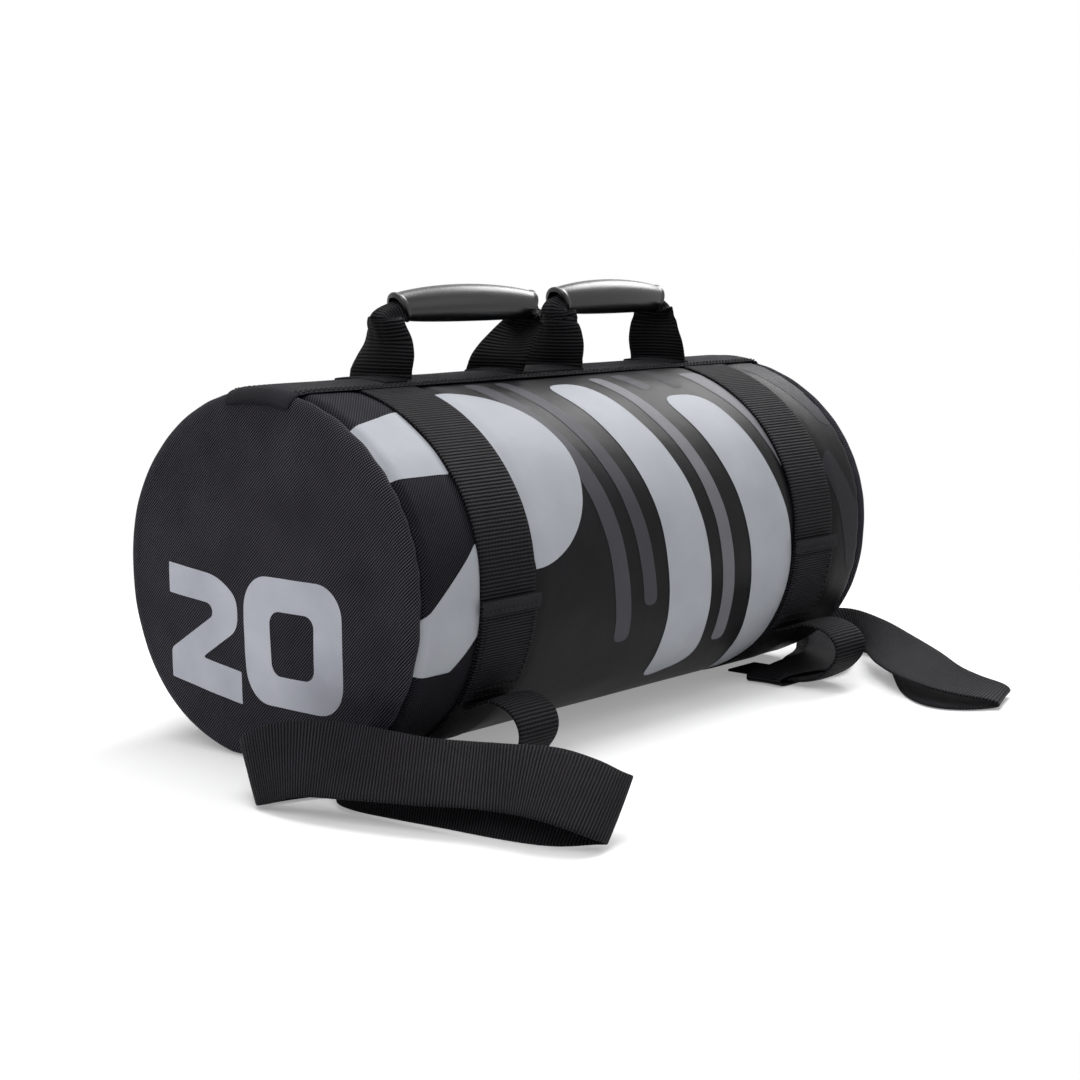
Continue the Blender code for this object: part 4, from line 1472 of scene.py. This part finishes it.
    def _core(self) -> None:
        """Makes the webbing through the grip, whose two ends run down toward the legs."""
        label = self.end.label
        side = self.turn @ Vector((0, -1, 0))
        path = []
        for leg, lines in ((Leg.OUTER, self.core), (Leg.INNER, self.core[::-1])):
            for line in lines:
                neck = SLACKS[self.end, leg].neck * ease((0.0035 - line.up) / 0.010)
                out = leg.value * self.end.value * (line.out + neck)
                crown = self.centre + self.turn @ Vector((out, 0, line.up))
                path.append((crown, side * self.end.value, line.half, line.turn))
        core = self._rolled(f"{label}_grip_webbing", path)
        inside, neck = (self.centre + self.turn @ Vector((self.end.value * out, 0, up))
                        for out, up in ((0.0530, 0.0060), (0.0650, -0.0120)))
        self.kit.bend(core, (f"{label}_grip", f"{label}_outer_leg"), (tuple(inside), tuple(neck)),
                      f"{label}_handle_core")

    def _grip(self) -> None:
        """Makes the moulded tube: thicker in its middle, lipped at its mouths and open along its underside."""
        label = self.end.label
        arc, stations = 46, 80
        rings = []
        for station in range(stations + 1):
            spread = 2 * station / stations - 1
            share = math.copysign(1 - (1 - abs(spread)) ** 1.5, spread)
            barrel = (1 - share * share) ** 0.8
            from_end = (1 - abs(share)) * self.length / 2
            outer = mix(self.end_radius, self.middle_radius, barrel)
            inner = outer - self.wall
            outer += self.lip * math.exp(-((from_end - self.lip_in) / self.lip_width) ** 2)
            outer -= self.mouth_round * math.exp(-(from_end / 0.0006) ** 2)
            inner += self.mouth_flare * math.exp(-(from_end / 0.0010) ** 2)
            ring = []
            for radius, order in ((outer, 1), (inner, -1)):
                gap = math.asin(self.slot / 2 / radius)
                for step in range(arc + 1):
                    swing = order * (2 * step / arc - 1)
                    edge = 0.0005 * abs(swing) ** 40 * (1 if order > 0 else -1)
                    angle = swing * (math.pi - gap)
                    y, z = (radius - edge) * math.sin(angle), (radius - edge) * math.cos(angle)
                    cutback = self.cutback * (1 - z / self.middle_radius) / 2
                    along = share * (self.length / 2 - cutback)
                    ring.append(self.centre + self.turn @ Vector((along, y, z - self.arch * share * share)))
            rings.append(ring)
        uvs = [[(0.0, 0.0)] * (len(rings[0]) + 1)] * len(rings)
        grip = lofted(f"{label}_grip_cover", rings, uvs, self.kit.looks.grip)
        self.kit.keep(grip, f"{label}_grip", "grip_rubber", f"{label}_handle_grip")


Row = tuple[Spot, Spot]

# Lines across each hand loop, as in the CAD: along, side and height of its foot, then of its top edge
FRONT_ROWS: tuple[Row, ...] = (
    ((-0.30, 0.075, 0.025), (-0.30, -0.110, 0.025)),
    ((0.00, 0.085, 0.025), (0.00, -0.120, 0.025)),
    ((0.27, 0.110, 0.025), (0.27, -0.135, 0.030)),
    ((0.59, 0.060, 0.035), (0.59, -0.200, 0.090)),
    ((0.93, 0.020, 0.030), (0.93, -0.240, 0.120)),
    ((1.09, -0.015, 0.030), (1.07, -0.265, 0.220)),
    ((1.31, -0.105, 0.030), (1.26, -0.345, 0.480)),
    ((1.66, -0.180, 0.030), (1.54, -0.395, 0.640)),
    ((1.97, -0.215, 0.030), (1.78, -0.400, 0.680)),
    ((2.01, -0.130, 0.120), (1.77, -0.295, 0.880)),
    ((2.00, -0.015, 0.260), (1.66, -0.160, 0.980)),
    ((1.94, 0.150, 0.320), (1.50, 0.020, 1.000)),
    ((1.84, 0.310, 0.350), (1.39, 0.160, 0.960)),
    ((1.73, 0.450, 0.360), (1.29, 0.300, 0.920)),
    ((1.61, 0.585, 0.380), (1.17, 0.440, 0.920)),
    ((1.54, 0.720, 0.390), (1.09, 0.570, 0.940)),
    ((1.50, 0.845, 0.380), (0.98, 0.745, 0.960)),
    ((1.41, 0.945, 0.300), (0.87, 0.865, 0.860)),
    ((1.27, 1.000, 0.180), (0.75, 0.925, 0.720)),
    ((1.12, 1.000, 0.075), (0.66, 0.935, 0.650)),
    ((1.11, 0.955, 0.035), (0.68, 0.885, 0.660)),
    ((1.28, 0.890, 0.030), (0.82, 0.830, 0.710)),
    ((1.39, 0.800, 0.030), (0.94, 0.730, 0.750)),
    ((1.46, 0.650, 0.030), (1.03, 0.560, 0.760)),
    ((1.51, 0.460, 0.030), (1.13, 0.365, 0.780)),
    ((1.57, 0.260, 0.030), (1.21, 0.145, 0.780)),
    ((1.60, 0.085, 0.030), (1.29, -0.040, 0.770)),
    ((1.54, -0.025, 0.035), (1.30, -0.195, 0.700)),
    ((1.37, -0.045, 0.060), (1.26, -0.265, 0.540)),
    ((1.14, 0.030, 0.120), (1.11, -0.210, 0.320)),
    ((0.95, 0.075, 0.150), (0.94, -0.180, 0.190)),
    ((0.61, 0.130, 0.152), (0.61, -0.130, 0.186)),
    ((0.27, 0.120, 0.148), (0.27, -0.130, 0.162)),
    ((0.00, 0.085, 0.145), (0.00, -0.120, 0.145)),
    ((-0.30, 0.075, 0.145), (-0.30, -0.110, 0.145)),
    ((-0.37, 0.070, 0.085), (-0.37, -0.105, 0.085)),
)
REAR_ROWS: tuple[Row, ...] = (
    ((-0.30, 0.075, 0.025), (-0.30, -0.110, 0.025)),
    ((0.00, 0.085, 0.025), (0.00, -0.120, 0.025)),
    ((0.27, 0.110, 0.025), (0.27, -0.135, 0.030)),
    ((0.59, 0.060, 0.035), (0.59, -0.200, 0.090)),
    ((0.93, 0.020, 0.030), (0.93, -0.240, 0.120)),
    ((1.09, -0.015, 0.030), (1.07, -0.265, 0.220)),
    ((1.34, -0.095, 0.030), (1.30, -0.335, 0.480)),
    ((1.62, -0.120, 0.030), (1.68, -0.350, 0.600)),
    ((1.68, -0.055, 0.030), (1.93, -0.250, 0.520)),
    ((1.55, 0.050, 0.030), (2.02, -0.080, 0.380)),
    ((1.30, 0.170, 0.030), (1.90, 0.110, 0.260)),
    ((0.90, 0.290, 0.030), (1.50, 0.290, 0.160)),
    ((0.20, 0.520, 0.030), (0.93, 0.470, 0.090)),
    ((-0.12, 0.680, 0.030), (0.50, 0.640, 0.070)),
    ((-0.20, 0.800, 0.030), (0.42, 0.780, 0.060)),
    ((-0.10, 0.905, 0.030), (0.50, 0.860, 0.055)),
    ((0.10, 0.985, 0.045), (0.70, 0.905, 0.070)),
    ((0.13, 1.000, 0.090), (0.73, 0.912, 0.110)),
    ((0.06, 0.960, 0.150), (0.68, 0.890, 0.190)),
    ((-0.08, 0.850, 0.210), (0.55, 0.820, 0.300)),
    ((-0.06, 0.700, 0.250), (0.56, 0.720, 0.390)),
    ((0.15, 0.500, 0.280), (0.80, 0.560, 0.480)),
    ((0.58, 0.290, 0.260), (1.20, 0.330, 0.540)),
    ((1.03, 0.125, 0.220), (1.60, 0.080, 0.620)),
    ((1.36, 0.010, 0.170), (1.72, -0.130, 0.700)),
    ((1.44, -0.020, 0.130), (1.52, -0.270, 0.660)),
    ((1.33, -0.015, 0.110), (1.28, -0.265, 0.520)),
    ((1.14, 0.030, 0.120), (1.11, -0.210, 0.320)),
    ((0.95, 0.075, 0.150), (0.94, -0.180, 0.190)),
    ((0.61, 0.130, 0.152), (0.61, -0.130, 0.186)),
    ((0.27, 0.120, 0.148), (0.27, -0.130, 0.162)),
    ((0.00, 0.085, 0.145), (0.00, -0.120, 0.145)),
    ((-0.30, 0.075, 0.145), (-0.30, -0.110, 0.145)),
    ((-0.37, 0.070, 0.085), (-0.37, -0.105, 0.085)),
)


@dataclass
class Loops:
    """A short link out of the patch and the long hand loop threaded through it."""

    kit: Kit
    end: End
    reach: float
    past_end: float
    rows: Sequence[Row]
    link_half: float = 0.020
    tuck: float = 0.042
    side_reach: float = 0.170
    width: float = 0.050
    thickness: float = 0.0019
    foot_angle: float = -math.radians(123.75)
    # Out from the patch's foot, height over the floor, and how far the webbing is gathered
    route: tuple[Spot, ...] = (
        (0.00, 0.945, 1.0), (0.12, 0.965, 1.0), (0.29, 1.04, 1.0), (0.47, 1.10, 1.0), (0.71, 1.06, 1.0),
        (0.88, 0.95, 0.98), (0.97, 0.77, 0.94), (0.95, 0.57, 0.88), (0.82, 0.36, 0.80), (0.64, 0.20, 0.72),
        (0.42, 0.118, 0.66), (0.10, 0.102, 0.62), (-0.60, 0.102, 0.62), (-1.00, 0.102, 0.62))

    def __post_init__(self) -> None:
        """Works out where the patch ends."""
        self.x = self.kit.form.strap_x(self.end)
        self.foot = self.kit.form.point(0, -0.0012, self.foot_angle)

    def build(self) -> None:
        """Makes the link, then the hand loop."""
        self._link()
        self._hand_loop()

    def _link(self) -> None:
        """Makes the short ring of webbing out of the patch."""
        label = self.end.label
        bands = []
        for out, height, gather in self.route:
            reach = self.reach if out > 0 else self.tuck
            y, z = self.foot.y - out * reach, self.foot.z * height
            half = self.link_half * mix(gather, 1.0, 0.75 if self.end is End.REAR else 0.0)
            bow = 0.0012 * (1 - abs(2 * min(max(out, 0), 1) - 1))
            bands.append(Band(Vector((self.x - half, y, z)), Vector((self.x + half, y, z)), bow))
        link = Webbing(f"{label}_link_cover", self.kit.looks.webbing, self.thickness).build(bands)
        spots = (self.x, self.foot.y - 0.003, 0.04), (self.x, self.foot.y - 0.030, 0.04)
        self.kit.bend(link, ("bag", f"{label}_link"), spots, f"{label}_link_loop")

    def _place(self, row: Spot) -> Vector:
        """Turns a place in the table of lines into a point.

        Args:
            row: Along the bag, out to the side, and height.

        Returns:
            The point.
        """
        along, side, height = row
        strap, half = abs(self.x), self.kit.form.half_length
        x = strap + along * (half - strap) if along <= 1 else half + (along - 1) * self.past_end
        return Vector((self.end.value * x, self.foot.y - side * self.side_reach, height * self.width))

    def _hand_loop(self) -> None:
        """Makes the hand loop, a closed ring of webbing through the link."""
        label = self.end.label
        bands = [Band(self._place(low), self._place(high), 0.0004) for low, high in self.rows]
        strip = Webbing(f"{label}_loop_cover", self.kit.looks.loop_webbing, self.thickness, closed=True)
        spots = (self.end.value * 0.186, self.foot.y, 0.005), (self.end.value * 0.240, self.foot.y, 0.005)
        self.kit.bend(strip.build(bands), (f"{label}_link", f"{label}_loop"), spots, f"{label}_hand_loop")


@dataclass
class Insides:
    """The foam, sack, tie and sand, which keep their CAD solids."""

    kit: Kit

    def build(self) -> None:
        """Gives each its material."""
        looks = self.kit.looks
        stuffs = {"foam_lining": looks.foam, "front_foam_pad": looks.foam, "rear_foam_pad": looks.foam,
                  "filler_sack": looks.film, "filling": looks.sand, "sack_tie": looks.nylon}
        for node, look in stuffs.items():
            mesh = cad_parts[node].data
            mesh.materials.clear()
            mesh.materials.append(look)
            LOG.info("%s keeps its solid", node)


@dataclass
class Studio:
    """A white floor, soft lights and the photograph's camera."""

    eye: Spot = (-1.0900, -0.9415, 0.3215)
    right: Spot = (0.6479, -0.7617, 0.0)
    up: Spot = (0.1080, 0.0919, 0.9898)
    back: Spot = (-0.7540, -0.6413, 0.1418)
    lens: float = 67.6
    sensor: float = 36.0
    half_floor: float = 6.0
    floor_z: float = -0.0002
    white_from: float = 0.36
    white_past: float = 0.72
    near_white: float = 0.28
    ambient: float = 0.27
    aim: Spot = (0.0, 0.0, 0.12)

    def build(self) -> None:
        """Makes the floor, world, lights and camera."""
        self._floor()
        self._world()
        self._light("key", (-1.7, -0.9, 1.9), 1.5, 30.0)
        self._light("top", (0.1, 0.2, 2.0), 1.4, 34.0)
        self._light("right_fill", (0.6, -2.1, 0.9), 1.4, 4.0)
        self._light("sheen", (1.80, 0.16, 1.72), 1.1, 40.0)
        self._camera()
        bpy.context.scene.view_settings.view_transform = "Standard"

    def _floor(self) -> None:
        """Lays matt white paper, which takes the shadows near the bag and shows plain white further off."""
        shape = bmesh.new()
        bmesh.ops.create_grid(shape, x_segments=2, y_segments=2, size=self.half_floor,
                              matrix=Matrix.Translation((0, 0, self.floor_z)))
        look = bpy.data.materials.new("white_backdrop_paper")
        look.use_nodes = True
        tree = look.node_tree
        paper, out = tree.nodes["Principled BSDF"], tree.nodes["Material Output"]
        place = add(tree, "TexCoord").outputs["Object"]
        lengths = add(tree, "SeparateXYZ", {0: place})
        squares = [add(tree, "Math", {0: lengths.outputs[axis], 1: lengths.outputs[axis]}, operation="MULTIPLY")
                   for axis in (0, 1)]
        total = add(tree, "Math", {0: squares[0], 1: squares[1]}, operation="ADD")
        far = add(tree, "Math", {0: total}, operation="SQRT")
        # A part of the plain white is there near the bag too, and makes its shadow as light as in the photograph
        edge = add(tree, "MapRange", {0: far, 1: self.white_from, 2: self.white_past, 3: self.near_white},
                   interpolation_type="SMOOTHSTEP")
        cloud = add(tree, "TexNoise", {"Vector": place, "Scale": 3.0, "Detail": 3.0})
        tone = add(tree, "ValToRGB", {0: cloud}, ((0.0, "#f2f2f2"), (1.0, "#f6f6f6")))
        feed(tree, paper, {"Base Color": tone, "Roughness": 0.95, "Specular IOR Level": 0.0})
        glow = add(tree, "Emission", {"Color": (1, 1, 1, 1), "Strength": 1.0})
        share = add(tree, "Math", {0: edge, 1: shows_background(tree)}, operation="MULTIPLY")
        feed(tree, out, {"Surface": add(tree, "MixShader", {0: share, 1: paper, 2: glow})})
        new_object("studio_floor", shape, look)

    def _world(self) -> None:
        """Makes the world white where it shows, and a plain level of light on the object."""
        world = bpy.data.worlds.new("studio")
        world.use_nodes = True
        bpy.context.scene.world = world
        tree = world.node_tree
        tree.nodes.clear()
        lit, white = (add(tree, "Background", {"Color": (1, 1, 1, 1), "Strength": strength})
                      for strength in (self.ambient, 1.0))
        add(tree, "OutputWorld", {0: add(tree, "MixShader", {0: shows_background(tree), 1: lit, 2: white})})

    def _light(self, name: str, place: Spot, size: float, power: float) -> None:
        """Hangs a soft lamp that faces the bag.

        Args:
            name: The lamp's name.
            place: Where it hangs.
            size: Its side in metres.
            power: Its watts.
        """
        data = bpy.data.lights.new(name, "AREA")
        data.size = size
        data.energy = power
        lamp = bpy.data.objects.new(name, data)
        lamp.location = place
        lamp.rotation_euler = (Vector(self.aim) - lamp.location).to_track_quat("-Z", "Y").to_euler()
        bpy.context.scene.collection.objects.link(lamp)

    def _camera(self) -> None:
        """Stands the camera where the photograph was taken from."""
        data = bpy.data.cameras.new("photo_camera")
        data.lens = self.lens
        data.sensor_width = self.sensor
        camera = bpy.data.objects.new("photo_camera", data)
        turn = Matrix((self.right, self.up, self.back)).transposed().to_4x4()
        camera.matrix_world = Matrix.Translation(self.eye) @ turn
        bpy.context.scene.collection.objects.link(camera)
        bpy.context.scene.camera = camera


def main() -> None:
    """Builds every sub-assembly."""
    logging.basicConfig(level=logging.INFO, format="%(name)s: %(message)s")
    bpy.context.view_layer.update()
    form = BagForm()
    kit = Kit(form, ArcTable(form), Finishes())
    Shell(kit).build()
    TopStrip(kit).build()
    for end in End:
        EndCap(kit, end).build()
        Strap(kit, end).build()
        Handle(kit, end).build()
    Loops(kit, End.FRONT, 0.046, 0.076, FRONT_ROWS).build()
    Loops(kit, End.REAR, 0.056, 0.068, REAR_ROWS).build()
    Insides(kit).build()
    Studio().build()


if __name__ == "__main__":
    main()
